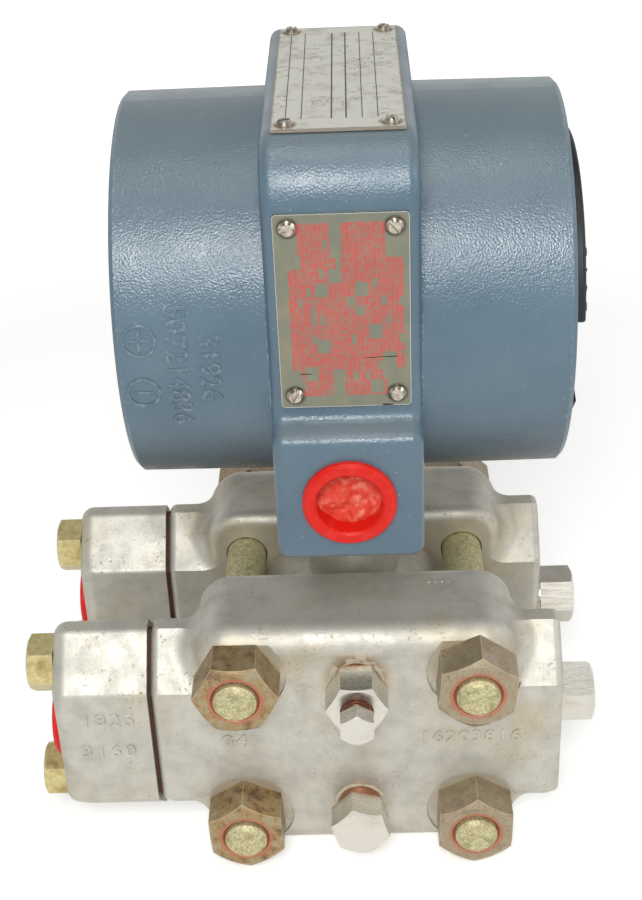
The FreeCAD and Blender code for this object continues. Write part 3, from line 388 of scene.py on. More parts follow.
# pale yellow chromate on the connector bolts and the studs, speckled where it has broken down
def chromateSteel(name, colours, speckMm, roughness, metallic):
    steel = {
        "colour": colours[0],
        "second": colours[1],
        "spot": colours[2],
        "edge": "#efe9cf",
        "roughness": roughness,
        "metallic": metallic,
        "speckDepthMm": 0.05,
        "noises": {"speck": (speckMm, 4.0, 0.7), "blotch": (3 * speckMm, 4.0, 0.5)},
    }
    material, shader, maps = newFinish(name, steel)
    stops = ((0.4, steel["colour"]), (0.62, steel["second"]))
    colour = addNode(material, "ValToRGB", {0: maps["speck"]}, stops=stops)
    spots = addNode(material, "MapRange", {0: maps["blotch"], 1: 0.52, 2: 0.7, 3: 0.0, 4: 0.7})
    rubbed = worn(material, 0.4, 0.85, 0.97, 0.6)
    layers = ((spots, "spot"), (rubbed, "edge"))
    depth = steel["speckDepthMm"] * mm
    skin = addNode(material, "Bump", {"Height": maps["speck"], "Distance": depth})
    feed(material, shader, steel, layers, colour=colour, normal=skin)
    return material


# soft red polyethylene of the thread protectors, moulded satin and scuffed a little paler;
# light goes a millimetre into it
def redPolyethylene(name, colour, scuffed):
    plastic = {
        "colour": colour,
        "roughness": 0.42,
        "specular": 0.3,
        "depth": 0.08,
        "scuff": scuffed,
        "scuffDepthMm": 0.08,
        "noises": {"cloud": (2.4, 4.0, 0.5)},
    }
    material, shader, maps = newFinish(name, plastic)
    shader.inputs["Subsurface Weight"].default_value = plastic["depth"]
    shader.inputs["Specular IOR Level"].default_value = plastic["specular"]
    shader.inputs["Subsurface Radius"].default_value = (1.2 * mm, 0.4 * mm, 0.3 * mm)
    shader.inputs["Subsurface Scale"].default_value = 1.0
    stops = ((0.5, plastic["colour"]), (0.78, plastic["scuff"]))
    tint = addNode(material, "ValToRGB", {0: maps["cloud"]}, stops=stops)
    depth = plastic["scuffDepthMm"] * mm
    skin = addNode(material, "Bump", {"Height": maps["cloud"], "Distance": depth})
    feed(material, shader, plastic, (), colour=tint, normal=skin)
    return material


def steps(marks):
    # colour stops that go from black to white at the first mark, back at the next, and so on
    return [(0.0, "#000000")] + [
        (mark, "#000000" if index % 2 else "#ffffff") for index, mark in enumerate(marks)
    ]


# etched stainless of the data plate: warm pale grey, engraved rules filled with black, worn print,
# brown grime along its outline and round its screws
def dataPlate():
    plate = {
        "colour": "#e2e1d6",
        "roughness": 0.45,
        "metallic": 0.55,
        "ink": "#3a362e",
        "shadeAndGrime": "#a39a86",
        "brown": "#7c6a54",
        "rules": (0.107, 0.224, 0.449, 0.559, 0.677, 0.794),  # across the plate, from the left
        "ruleMm": 0.32,
        "printed": (0.085, 0.93),  # along the plate, from its front end
        "columns": 17,  # figures of the worn print across the plate
        "printMm": 1.5,  # height of one figure
        "empty": 0.6,  # share of the places without a figure
        "strokesPerMetre": (1100.0, 2600.0, 0.0),
        "grainDepthMm": 0.012,
        "screwHeadMm": 2.2,
        "noises": {
            "patches": (9.0, 2.0, 0.5),
            "cloud": (7.0, 5.0, 0.65),
            "grain": (0.5, 3.0, 0.5),
        },
    }
    material, shader, maps = newFinish("etchedDataPlate", plate)
    place, patches, cloud, grain = maps.values()
    low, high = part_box("data_plate")
    width, length = high.x - low.x, high.y - low.y
    local = addNode(material, "VectorMath", {0: place, 1: low}, operation="SUBTRACT")
    across = addNode(material, "SeparateXYZ", {0: local}, "X")
    along = addNode(material, "SeparateXYZ", {0: local}, "Y")
    across = addNode(material, "Math", {0: across, 1: width}, operation="DIVIDE")
    along = addNode(material, "Math", {0: along, 1: length}, operation="DIVIDE")
    half = plate["ruleMm"] * mm / width / 2
    edges = [rule + side for rule in plate["rules"] for side in (-half, half)]
    rules = addNode(material, "ValToRGB", {0: across}, stops=steps(edges), stepped=True)
    span = addNode(
        material, "ValToRGB", {0: along}, stops=steps(plate["printed"]), stepped=True
    )
    cell = (width / plate["columns"], plate["printMm"] * mm, 1.0)
    cells = addNode(material, "VectorMath", {0: local, 1: cell}, operation="SNAP")
    chance = addNode(material, "TexWhiteNoise", {"Vector": cells})
    chosen = addNode(material, "Math", {0: chance, 1: plate["empty"]}, operation="GREATER_THAN")
    inputs = {0: local, 1: plate["strokesPerMetre"]}
    fine = addNode(material, "VectorMath", inputs, operation="MULTIPLY")
    strokes = addNode(material, "TexNoise", {"Vector": fine, "Scale": 1.0, "Detail": 1.0})
    marks = addNode(material, "Math", {0: strokes, 1: 0.53}, operation="GREATER_THAN")
    kept = addNode(material, "MapRange", {0: patches, 1: 0.48, 2: 0.56, 3: 0.0, 4: 0.6})
    for mask in (chosen, kept):
        marks = addNode(material, "Math", {0: marks, 1: mask}, operation="MULTIPLY")
    ink = addNode(material, "Math", {0: marks, 1: rules}, operation="MAXIMUM")
    ink = addNode(material, "Math", {0: ink, 1: span}, operation="MULTIPLY")
    stops = ((0.5, plate["colour"]), (0.85, plate["shadeAndGrime"]))
    colour = addNode(material, "ValToRGB", {0: cloud}, stops=stops)
    screws = cornerCentres("data_plate_screws", plate["screwHeadMm"] * mm, "Z")
    fromScrew = distanceFrom(material, place, screws, "Z")
    inputs = {0: place, 1: (low + high) / 2}
    centred = addNode(material, "VectorMath", inputs, operation="SUBTRACT")
    centred = addNode(material, "VectorMath", {0: centred}, operation="ABSOLUTE")
    inputs = {0: (high - low) / 2, 1: centred}
    inside = addNode(material, "VectorMath", inputs, operation="SUBTRACT")
    inputs = {i: addNode(material, "SeparateXYZ", {0: inside}, "XY"[i]) for i in (0, 1)}
    fromEdge = addNode(material, "Math", inputs, operation="MINIMUM")
    layers = []
    for away, fray, outer, inner, strength in (
        (fromScrew, 2.0, 4.4, 3.4, 0.8),  # mm and the strength of the grime
        (fromEdge, 1.2, 1.2, 0.7, 0.75),
    ):
        inputs = {0: cloud, 1: fray * mm, 2: away}
        ragged = addNode(material, "Math", inputs, operation="MULTIPLY_ADD")
        inputs = {0: ragged, 1: outer * mm, 2: inner * mm, 3: 0.0, 4: strength}
        layers.append((addNode(material, "MapRange", inputs), "brown"))
    layers.append((ink, "ink"))
    inputs = {0: plate["metallic"], 1: ink}
    metal = addNode(material, "Math", inputs, operation="SUBTRACT", use_clamp=True)
    depth = plate["grainDepthMm"] * mm
    skin = addNode(material, "Bump", {"Height": grain, "Distance": depth})
    feed(material, shader, plate, layers, colour=colour, metallic=metal, normal=skin)
    return material


# brushed stainless notice plate with short red fired bars in rows that run down it, in two blocks,
# scratched through; bright sheared edges, dark rings under the screws
def noticePlate():
    plate = {
        "colour": "#7f8274",
        "roughness": 0.36,
        "metallic": 1.0,
        "second": "#8f8a78",
        "print": "#d8383a",
        "scratch": "#26231f",
        "edge": "#f6f6f2",
        "ring": "#4c4a40",
        "rowMm": 1.1,  # from row to row
        "rowFill": 0.86,
        "barMm": 0.55,  # from stroke to stroke
        "barFill": 0.74,
        "wordMm": 2.6,
        "wordsLost": 0.05,
        "blockMm": (3.3, 3.9),
        "blocksLost": 0.07,
        "sides": (0.09, 0.95),  # print across the plate, from its left
        "ends": (0.06, 0.955),  # print up the plate, from its foot
        "blocks": (0.17, 0.41, 0.5, 0.82),  # the two blocks at the top and the foot
        "full": (0.2, 0.78),  # where the print runs right across
        "scratchesPerMetre": (60.0, 0.0, 900.0),
        "grainDepthMm": 0.012,
        "screwHeadMm": 2.2,
        "noises": {
            "wobble": (0.9, 2.0, 0.5),
            "cloud": (6.0, 4.0, 0.5),
            "grain": (0.6, 3.0, 0.5),
        },
    }
    material, shader, maps = newFinish("printedNoticePlate", plate)
    place, wobble, cloud, grain = maps.values()
    low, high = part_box("notice_plate")
    local = addNode(material, "VectorMath", {0: place, 1: low}, operation="SUBTRACT")
    across = addNode(material, "SeparateXYZ", {0: local}, "X")
    up = addNode(material, "SeparateXYZ", {0: local}, "Z")
    ink = 1.0
    wide, tall = plate["blockMm"]
    for size, lost in (
        ((plate["rowMm"] * mm, 1.0, plate["wordMm"] * mm), plate["wordsLost"]),
        ((wide * mm, 1.0, tall * mm), plate["blocksLost"]),
    ):
        cells = addNode(material, "VectorMath", {0: local, 1: size}, operation="SNAP")
        chance = addNode(material, "TexWhiteNoise", {"Vector": cells})
        left = addNode(material, "Math", {0: chance, 1: lost}, operation="GREATER_THAN")
        ink = addNode(material, "Math", {0: ink, 1: left}, operation="MULTIPLY")
    for along, pitch, fill in (
        (across, plate["rowMm"], plate["rowFill"]),
        (up, plate["barMm"], plate["barFill"]),
    ):
        share = addNode(material, "Math", {0: along, 1: pitch * mm}, operation="DIVIDE")
        share = addNode(material, "Math", {0: share}, operation="FRACT")
        share = addNode(material, "Math", {0: share, 1: fill}, operation="LESS_THAN")
        ink = addNode(material, "Math", {0: ink, 1: share}, operation="MULTIPLY")
    thin = addNode(material, "MapRange", {0: wobble, 1: 0.36, 2: 0.6, 3: 0.35, 4: 0.95})
    across = addNode(material, "Math", {0: across, 1: high.x - low.x}, operation="DIVIDE")
    up = addNode(material, "Math", {0: up, 1: high.z - low.z}, operation="DIVIDE")
    sides, ends, blocks, full = (
        addNode(material, "ValToRGB", {0: along}, stops=steps(plate[name]), stepped=True)
        for along, name in ((across, "sides"), (up, "ends"), (across, "blocks"), (up, "full"))
    )
    allowed = addNode(material, "Math", {0: blocks, 1: full}, operation="MAXIMUM")
    for mask in (thin, sides, ends, allowed):
        ink = addNode(material, "Math", {0: ink, 1: mask}, operation="MULTIPLY")
    stops = ((0.4, plate["colour"]), (0.75, plate["second"]))
    colour = addNode(material, "ValToRGB", {0: cloud}, stops=stops)
    screws = cornerCentres("notice_plate_screws", plate["screwHeadMm"] * mm, "Y")
    away = distanceFrom(material, place, screws, "Y")
    ring = addNode(material, "MapRange", {0: away, 1: 3.1 * mm, 2: 2.5 * mm, 3: 0.0, 4: 0.75})
    sheared = worn(material, 0.35, 0.85, 0.97, 1.0)
    inputs = {0: local, 1: plate["scratchesPerMetre"]}
    drawn = addNode(material, "VectorMath", inputs, operation="MULTIPLY")
    inputs = {"Vector": drawn, "Scale": 1.0, "Detail": 2.0, "Distortion": 0.4}
    cut = addNode(material, "TexNoise", inputs)
    cut = addNode(material, "MapRange", {0: cut, 1: 0.735, 2: 0.75})
    layers = ((ring, "ring"), (sheared, "edge"), (ink, "print"), (cut, "scratch"))
    metal = addNode(material, "Math", {0: plate["metallic"], 1: ink}, operation="SUBTRACT")
    depth = plate["grainDepthMm"] * mm
    skin = addNode(material, "Bump", {"Height": grain, "Distance": depth})
    feed(material, shader, plate, layers, colour=colour, metallic=metal, normal=skin)
    return material


# dry residue that a leaking thread left on the steel: chalky, brown to off-white
def driedCrust():
    crust = {
        "colour": "#c6bfa8",
        "roughness": 0.85,
        "rust": "#a97c4e",
        "white": "#cdc8b6",
        "lumpDepthMm": 0.25,
        "noises": {"lumps": (2.2, 5.0, 0.65)},
    }
    material, shader, maps = newFinish("driedResidue", crust)
    stops = ((0.32, crust["rust"]), (0.42, crust["colour"]), (0.56, crust["white"]))
    colour = addNode(material, "ValToRGB", {0: maps["lumps"]}, stops=stops)
    depth = crust["lumpDepthMm"] * mm
    skin = addNode(material, "Bump", {"Height": maps["lumps"], "Distance": depth})
    feed(material, shader, crust, (), colour=colour, normal=skin)
    return material


# a plain finish with soft blotches of a second colour, for small and inside pieces
def plainFinish(name, colour, second, roughness, metallic=0.0, sizeMm=3.0):
    values = {
        "colour": colour,
        "roughness": roughness,
        "metallic": metallic,
        "noises": {"cloud": (sizeMm, 4.0, 0.5)},
    }
    material, shader, maps = newFinish(name, values)
    stops = ((0.4, colour), (0.7, second))
    tint = addNode(material, "ValToRGB", {0: maps["cloud"]}, stops=stops)
    skin = addNode(material, "Bump", {"Height": maps["cloud"], "Distance": 0.03 * mm})
    feed(material, shader, values, (), colour=tint, normal=skin)
    return material


def coat(material, *names):
    for name in names:
        for slot in nodes[name].material_slots:
            slot.material = material


def bothSides(*names):
    return [side + "_" + name for side in ("front", "rear") for name in names]


crusts = [  # spots, reach and fray in mm, tint, strength
    (studCentres, 13.6, 2.0, "stain", 0.35),
    ([tuple(ventCentre)], 11.5, 4.0, "crust", 0.6),
    ([tuple(ventCentre)], 7.5, 2.0, "rust", 0.7),
    ([tuple(drainCentre)], 8.8, 3.0, "crust", 0.6),
]
enamel = blueGreyEnamel()
black = blackEnamel()
coverSteel = castStainless("castStainlessCover", crusts)
bodySteel = castStainless("castStainlessBody")
plugSteel = machinedStainless("machinedStainless", "Y")
ventSteel = machinedStainless("machinedStainlessVent", "Y", coverFront, 2.5)
drainSteel = machinedStainless("machinedStainlessDrain", "Y", coverFront + 2.0 * mm, 3.0)
sideSteel = machinedStainless("machinedStainlessSide", "X")
boltColours, studColours = ("#dccf9a", "#c9b87c", "#94804e"), ("#b1a67a", "#d8d3a8", "#948f68")
chromate = chromateSteel("yellowChromateBolt", boltColours, 1.8, 0.32, 0.55)
studSteel = chromateSteel("chromateStud", studColours, 0.8, 0.6, 0.5)
red = redPolyethylene("redPolyethylene", "#dc1c10", "#e03a2c")
redFloor = redPolyethylene("crinkledRedPolyethylene", "#dd4a38", "#f2a08a")
crustFinish = driedCrust()
threadSteel = plainFinish("rustyThreadSteel", "#8a5a44", "#5d3a2c", 0.4, 0.8, 1.2)
screwSteel = plainFinish("nickelScrew", "#c4bfb2", "#8d7f6a", 0.26, 1.0, 1.5)
rubber = plainFinish("nitrileRubber", "#1b1b1c", "#28282a", 0.6)
fibre = plainFinish("redFibreGasket", "#4c2a20", "#33201a", 0.75)
ptfe = plainFinish("whitePtfe", "#d9d7d0", "#c9c6bd", 0.5)
foil = plainFinish("rolledStainlessFoil", "#c8c6c0", "#b5b3ab", 0.25, 1.0)
phenolic = plainFinish("blackPhenolic", "#1c1a18", "#2a2724", 0.45)
turnedBrass = plainFinish("plainBrass", "#c9a25a", "#a98243", 0.3, 1.0)
laminate = plainFinish("greenBoardLaminate", "#2f5a3a", "#3c6a45", 0.45)
canAluminium = plainFinish("drawnAluminiumCan", "#c3c4c6", "#a9abad", 0.3, 1.0)
bluePlastic = plainFinish("mouldedBluePlastic", "#2b55a0", "#254a8c", 0.4)

coat(enamel, "housing_casting")
coat(black, "electronics_cover", "terminal_cover")
coat(coverSteel, *bothSides("process_cover"))
coat(bodySteel, "sensor_capsule", *bothSides("process_connector"))
coat(plugSteel, *bothSides("vent_screw"))
coat(ventSteel, *bothSides("vent_plug"))
coat(drainSteel, *bothSides("drain_plug"))
coat(sideSteel, *bothSides("side_plug"))
coat(platedNut(), *bothSides("nuts"))
coat(chromate, *bothSides("connector_bolts"))
coat(studSteel, "cover_studs")
coat(red, *bothSides("conduit_plug", "port_plug"))
coat(dataPlate(), "data_plate")
coat(noticePlate(), "notice_plate")
coat(screwSteel, "data_plate_screws", "notice_plate_screws")
coat(screwSteel, "terminal_block_screws", "board_screws")
coat(rubber, "electronics_cover_seal", "terminal_cover_seal", "neck_seal")
coat(fibre, *bothSides("connector_gasket"))
coat(ptfe, *bothSides("cover_gasket"))
coat(foil, *bothSides("diaphragm"))
coat(phenolic, "terminal_block")
coat(turnedBrass, "terminal_screws", "board_standoffs", "wall_standoffs")
coat(turnedBrass, "zero_adjuster", "span_adjuster")
coat(laminate, "amplifier_board", "calibration_board")
coat(canAluminium, "board_capacitors")
coat(bluePlastic, "zero_potentiometer", "span_potentiometer")
print("finishes done")


def chosen(*pieces):
    bpy.ops.object.select_all(action="DESELECT")
    for piece in pieces:
        piece.select_set(True)
    bpy.context.view_layer.objects.active = pieces[0]


def ended(piece, name, material, body):
    # names a piece whose place is already in its mesh, closes its seams, coats it and lets it ride
    chosen(piece)
    bpy.ops.object.mode_set(mode="EDIT")
    bpy.ops.mesh.select_all(action="SELECT")
    bpy.ops.mesh.remove_doubles(threshold=0.002 * mm)
    bpy.ops.mesh.normals_make_consistent(inside=False)
    bpy.ops.object.mode_set(mode="OBJECT")
    bpy.ops.object.shade_smooth_by_angle(angle=math.radians(40))
    piece.name = name
    piece.data.materials.clear()
    piece.data.materials.append(material)
    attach(piece, body)
    bpy.ops.object.select_all(action="DESELECT")


def joined(parts):
    chosen(*parts)
    bpy.ops.object.join()
    return parts[0]


def applied(piece, kind, **settings):
    modifier = piece.modifiers.new(kind.lower(), kind)
    for name, value in settings.items():
        setattr(modifier, name, value)
    chosen(piece)
    bpy.ops.object.modifier_apply(modifier=modifier.name)


def figure(character, tallMm, reliefMm, basis):
    # one cast figure, standing reliefMm proud of its spot and rooted as deep
    bpy.ops.object.text_add()
    typed = bpy.context.object
    typed.data.body = character
    typed.data.size = tallMm * mm / 0.7
    typed.data.align_x = "CENTER"
    typed.data.align_y = "CENTER"
    typed.data.resolution_u = 3
    typed.data.bevel_depth = 0.35 * reliefMm * mm
    typed.data.extrude = 0.65 * reliefMm * mm
    bpy.ops.object.convert(target="MESH")
    shape = bpy.context.object
    shape.data.transform(basis)
    shape.select_set(False)
    return shape


def spotOn(node, outside, inward):
    # where a straight line meets the surface of a node
    return nodes[node].ray_cast(outside, inward)[1]


def standing(right, up, spot):
    # a place whose X runs along right and whose Y runs along up
    right, up = Vector(right), Vector(up)
    turned = Matrix((right, up, right.cross(up))).transposed().to_4x4()
    return Matrix.Translation(spot) @ turned


# figures and terminal signs cast on the front of the barrel, on the terminal side
barrelMarks = {
    "long": "507214836",  # plain casting numbers
    "longAway": 43.4,  # mm from the middle of the housing
    "short": "31926",
    "shortAway": 35.1,
    "pitch": 4.25,  # degrees round the barrel from figure to figure
    "start": 0.1,  # degrees over the horizontal, middle of both columns
    "tall": 5.4,
    "relief": 0.32,
    "signsAway": 52.6,
    "signs": (("plusSign", 8.9, 2), ("minusSign", -7.0, 1)),  # name, degrees, number of bars
    "signRadius": 4.5,
    "signLine": 0.75,
    "signBar": 5.6,
    "outsideMm": 80,  # clear of the barrel
}


def onBarrel(away, degrees):
    # reading down the barrel, tops towards the middle of the housing
    angle = math.radians(degrees)
    outward = Vector((0.0, -math.cos(angle), math.sin(angle)))
    start = Vector((axisX - away * mm, 0.0, barrelZ)) + outward * barrelMarks["outsideMm"] * mm
    spot = spotOn("housing_casting", start, -outward)
    down = Vector((0.0, -math.sin(angle), -math.cos(angle)))
    return standing(down, (1.0, 0.0, 0.0), spot)


figures = []
for row in ("long", "short"):
    word, away = barrelMarks[row], barrelMarks[row + "Away"]
    for index, character in enumerate(word):
        degrees = barrelMarks["start"] + ((len(word) - 1) / 2 - index) * barrelMarks["pitch"]
        basis = onBarrel(away, degrees)
        figures.append(figure(character, barrelMarks["tall"], barrelMarks["relief"], basis))
ended(joined(figures), "barrelFigures", enamel, "transmitter_body")

for name, degrees, bars in barrelMarks["signs"]:
    thick = 2 * barrelMarks["relief"] * mm
    bpy.ops.mesh.primitive_circle_add(vertices=56, radius=barrelMarks["signRadius"] * mm)
    ring = bpy.context.object
    bpy.ops.object.mode_set(mode="EDIT")
    bpy.ops.mesh.extrude_edges_move()
    inner = 1 - barrelMarks["signLine"] / barrelMarks["signRadius"]
    bpy.ops.transform.resize(value=(inner, inner, 1.0))
    bpy.ops.object.mode_set(mode="OBJECT")
    applied(ring, "SOLIDIFY", thickness=thick, offset=0.0)
    parts = [ring]
    for bar in range(bars):
        bpy.ops.mesh.primitive_cube_add(size=1.0)
        beam = bpy.context.object
        bpy.ops.object.mode_set(mode="EDIT")
        sides = (barrelMarks["signLine"] * mm, barrelMarks["signBar"] * mm)
        bpy.ops.transform.resize(value=(sides[bar], sides[1 - bar], thick))
        bpy.ops.object.mode_set(mode="OBJECT")
        parts.append(beam)
    for part in parts:
        applied(part, "BEVEL", width=0.14 * mm, segments=2)
    sign = joined(parts)
    sign.data.transform(onBarrel(barrelMarks["signsAway"], degrees))
    ended(sign, name, enamel, "transmitter_body")
print("barrel figures and signs done")

# figures raised in the casting of the cell, under the nuts and on the front connector
cellMarks = {
    "rows": (  # text, X and Z of its middle from the cell's own axis, pitch, height in mm
        ("04", -37.4, 44.3, 4.3, 4.3),
        ("16203816", 33.9, 44.0, 3.9, 4.3),
        ("1825", -75.2, 53.4, 4.4, 4.4),
        ("3160", -76.0, 41.2, 4.4, 4.4),
    ),
    "relief": 0.44,
    "dots": (22.7, 24.6, 26.5, 28.3),  # punch marks on the top, X from the axis
    "dotsBack": 23.4,
    "dotRadius": 0.42,
    "aboveMm": 200,  # clear of the cell
}
figures = []
for word, x, z, pitch, tall in cellMarks["rows"]:
    for index, character in enumerate(word):
        across = axisX + (x + (index - (len(word) - 1) / 2) * pitch) * mm
        spot = Vector((across, -coverFront, z * mm))
        basis = standing((1.0, 0.0, 0.0), (0.0, 0.0, 1.0), spot)
        figures.append(figure(character, tall, cellMarks["relief"], basis))
ended(joined(figures), "castFigures", coverSteel, "transmitter_body")

dots = []
for across in cellMarks["dots"]:
    radius = cellMarks["dotRadius"] * mm
    bpy.ops.mesh.primitive_uv_sphere_add(segments=12, ring_count=8, radius=radius)
    dot = bpy.context.object
    bpy.ops.object.mode_set(mode="EDIT")
    bpy.ops.transform.resize(value=(1.0, 1.0, 0.6))
    bpy.ops.object.mode_set(mode="OBJECT")
    above = (axisX + across * mm, -cellMarks["dotsBack"] * mm, cellMarks["aboveMm"] * mm)
    top = spotOn("front_process_cover", Vector(above), Vector((0, 0, -1)))
    dot.data.transform(Matrix.Translation(top))
    dots.append(dot)
ended(joined(dots), "punchMarks", plugSteel, "transmitter_body")
print("cell figures done")

# figures cast on the raised lands of the end covers, along their rims
lidMarks = {
    "words": {"electronics": "2160", "terminal": "2161"},
    "middle": 21.0,  # degrees over the horizontal, at the front
    "pitch": 7.4,
    "radius": 36.2,
    "tall": 4.2,
    "relief": 0.4,
}
for side, word in lidMarks["words"].items():
    low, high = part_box(side + "_cover")
    out = 1.0 if side == "electronics" else -1.0
    land = high.x if out > 0 else low.x
    figures = []
    for index, character in enumerate(word):
        away = ((len(word) - 1) / 2 - index) * lidMarks["pitch"]
        angle = math.radians(lidMarks["middle"] + out * away)
        outward = Vector((0.0, -math.cos(angle), math.sin(angle)))
        spot = Vector((land, 0.0, barrelZ)) + outward * lidMarks["radius"] * mm
        basis = standing(outward.cross((out, 0.0, 0.0)), outward, spot)
        figures.append(figure(character, lidMarks["tall"], lidMarks["relief"], basis))
    ended(joined(figures), side + "CoverFigures", black, side + "_end_cover")
print("cover figures done")


def intoFace(side, x, z, fromFace):
    # a place on the front or rear of the cell whose Z points outwards, fromFace metres proud
    out = -1.0 if side == "front" else 1.0
    spot = Vector((x, out * (coverFront + fromFace), z))
    return standing((-out, 0.0, 0.0), (0.0, 0.0, 1.0), spot)


# threads of the vent screws, seen in the mouths of their plugs
ventThread = {"crest": 4.55, "core": 3.7, "pitch": 1.06, "turns": 7, "flank": 0.25, "inside": 4.3}
for side in ("front", "rear"):
    crest, core, pitch = (ventThread[key] * mm for key in ("crest", "core", "pitch"))
    bpy.ops.mesh.primitive_plane_add(size=1.0)
    thread = bpy.context.object
    bpy.ops.object.mode_set(mode="EDIT")
    bpy.ops.transform.resize(value=(crest - core, 0.98 * pitch, 1.0))
    bpy.ops.transform.rotate(value=math.radians(90), orient_axis="X", center_override=(0, 0, 0))
    bpy.ops.transform.translate(value=((crest + core) / 2, 0.0, 0.0))
    bpy.ops.mesh.select_all(action="DESELECT")
    bpy.ops.object.mode_set(mode="OBJECT")
    for vertex in thread.data.vertices:
        vertex.select = vertex.co.x > (crest + core) / 2
    for edge in thread.data.edges:
        edge.select = all(thread.data.vertices[i].select for i in edge.vertices)
    bpy.ops.object.mode_set(mode="EDIT")
    bpy.ops.transform.resize(value=(1.0, 1.0, ventThread["flank"]))
    bpy.ops.mesh.select_all(action="SELECT")
    bpy.ops.mesh.delete(type="ONLY_FACE")
    bpy.ops.object.mode_set(mode="OBJECT")
    applied(
        thread,
        "SCREW",
        screw_offset=pitch,
        iterations=ventThread["turns"],
        steps=36,
        render_steps=36,
        axis="Z",
        use_merge_vertices=True,
    )
    bpy.ops.object.mode_set(mode="EDIT")
    bpy.ops.mesh.select_mode(type="EDGE")
    bpy.ops.mesh.select_all(action="DESELECT")
    bpy.ops.mesh.select_non_manifold()
    bpy.ops.mesh.fill_holes(sides=4)
    bpy.ops.object.mode_set(mode="OBJECT")
    face = abs(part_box(side + "_vent_plug")[0 if side == "front" else 1].y) - coverFront
    seat = face - ventThread["inside"] * mm
    thread.data.transform(intoFace(side, ventCentre.x, ventCentre.z, seat + pitch / 2))
    ended(thread, side + "VentThread", threadSteel, side + "_vent")
print("vent threads done")


def roundSheet(radius, rings, sides=96):
    # a flat disc of rings, modelled as a filled circle inset again and again
    bpy.ops.mesh.primitive_circle_add(vertices=sides, radius=radius, fill_type="NGON")
    sheet = bpy.context.object
    bpy.ops.object.mode_set(mode="EDIT")
    for ring in range(rings):
        bpy.ops.mesh.inset(thickness=0.94 * radius / rings)
    bpy.ops.mesh.poke()
    bpy.ops.object.mode_set(mode="OBJECT")
    return sheet


def crumpled(sheet, kind, lumpMm, depthMm, level=0.5):
    # pushes a sheet that is already in place in and out along its own faces
    lumps = bpy.data.textures.new("lumps", kind)
    lumps.noise_scale = lumpMm * mm
    settings = {"strength": depthMm * mm, "mid_level": level, "texture_coords": "LOCAL"}
    applied(sheet, "DISPLACE", texture=lumps, **settings)


# the thin floor of each red thread protector, crinkled where it was pulled out of the mould
plugFloor = {
    "radius": 8.75,
    "depth": 5.6,  # under the rim of the plug
    "rings": 24,
    "foldMm": 4.6,
    "foldDepth": 2.6,
    "creaseMm": 2.2,
    "creaseDepth": 0.8,
    "thick": 0.3,
}
for name in bothSides("conduit_plug", "port_plug"):
    low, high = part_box(name)
    spot = (low + high) / 2
    depth = plugFloor["depth"] * mm
    if "port" in name:
        spot.x, right = low.x + depth, (0.0, -1.0, 0.0)
    elif name.startswith("front"):
        spot.y, right = low.y + depth, (1.0, 0.0, 0.0)
    else:
        spot.y, right = high.y - depth, (-1.0, 0.0, 0.0)
    sheet = roundSheet(plugFloor["radius"] * mm, plugFloor["rings"])
    sheet.data.transform(standing(right, (0.0, 0.0, 1.0), spot))
    crumpled(sheet, "CLOUDS", plugFloor["foldMm"], plugFloor["foldDepth"])
    crumpled(sheet, "VORONOI", plugFloor["creaseMm"], plugFloor["creaseDepth"], 0.3)
    applied(sheet, "SOLIDIFY", thickness=plugFloor["thick"] * mm)
    side, kind = name.split("_")[:2]
    title = side + kind.capitalize() + "PlugFloor"
    ended(sheet, title, redFloor, "transmitter_body")
print("plug floors done")

# dried residue on the covers, round the vent and drain plugs
residue = {
    "Vent": {"centre": ventCentre, "inner": 7.2, "outer": 11.6, "high": 0.14, "low": -0.3},
    "Drain": {"centre": drainCentre, "inner": 6.9, "outer": 9.2, "high": 0.2, "low": -0.3},
    "rings": 30,
    "lumpMm": 2.3,
    "rough": 0.55,  # mm from the deepest to the highest lump
    "thick": 0.9,
    "sides": 120,
}
for side in ("front", "rear"):
    for kind in ("Vent", "Drain"):
        ring = residue[kind]
        sheet = roundSheet(ring["outer"] * mm, residue["rings"], residue["sides"])
        inner, outer = ring["inner"] * mm, ring["outer"] * mm
        for vertex in sheet.data.vertices:
            share = (vertex.co.length - inner) / (outer - inner)
            vertex.co.z = (ring["high"] + (ring["low"] - ring["high"]) * share) * mm
        for polygon in sheet.data.polygons:
            polygon.select = polygon.center.xy.length < inner
        chosen(sheet)
        bpy.ops.object.mode_set(mode="EDIT")
        bpy.ops.mesh.select_mode(type="FACE")
        bpy.ops.mesh.delete(type="FACE")
        bpy.ops.object.mode_set(mode="OBJECT")
        sheet.data.transform(intoFace(side, ring["centre"].x, ring["centre"].z, 0.0))
        crumpled(sheet, "CLOUDS", residue["lumpMm"], residue["rough"])
        applied(sheet, "SOLIDIFY", thickness=residue["thick"] * mm)
        ended(sheet, side + kind + "Residue", crustFinish, "transmitter_body")
print("residue done")

# pale table and a white surround; camera and reflections see both as full white
studio = {
    "floorColour": "#efefed",
    "floorRoughness": 0.9,
    "floorSize": 6.0,
    "floorGlow": 0.44,  # round the object, so that its shadow shows
    "farGlow": 0.78,
    "nearReach": 0.35,
    "farReach": 0.7,
    "floorShine": 0.3,  # the same, where metal mirrors the floor
    "surround": 0.25,
    "overhead": 0.3,  # what metal mirrors of the dim ceiling
    "lamps": {  # watts, size and distance in m, degrees over the horizon and round to the right
        "keyBox": (10.0, 0.42, 1.25, 41.0, -3.0),
        "sideBox": (2.0, 0.5, 1.2, 30.0, 75.0),
        "topBox": (1.8, 0.3, 1.2, 84.0, 0.0),
    },
}
bpy.ops.object.select_all(action="DESELECT")
bpy.ops.mesh.primitive_plane_add(size=studio["floorSize"])
floor = bpy.context.object
floor.name = "floor"
paperWhite = bpy.data.materials.new("whiteTablePaper")
paperWhite.use_nodes = True
paper = paperWhite.node_tree.nodes["Principled BSDF"]
paper.inputs["Base Color"].default_value = linear(studio["floorColour"])
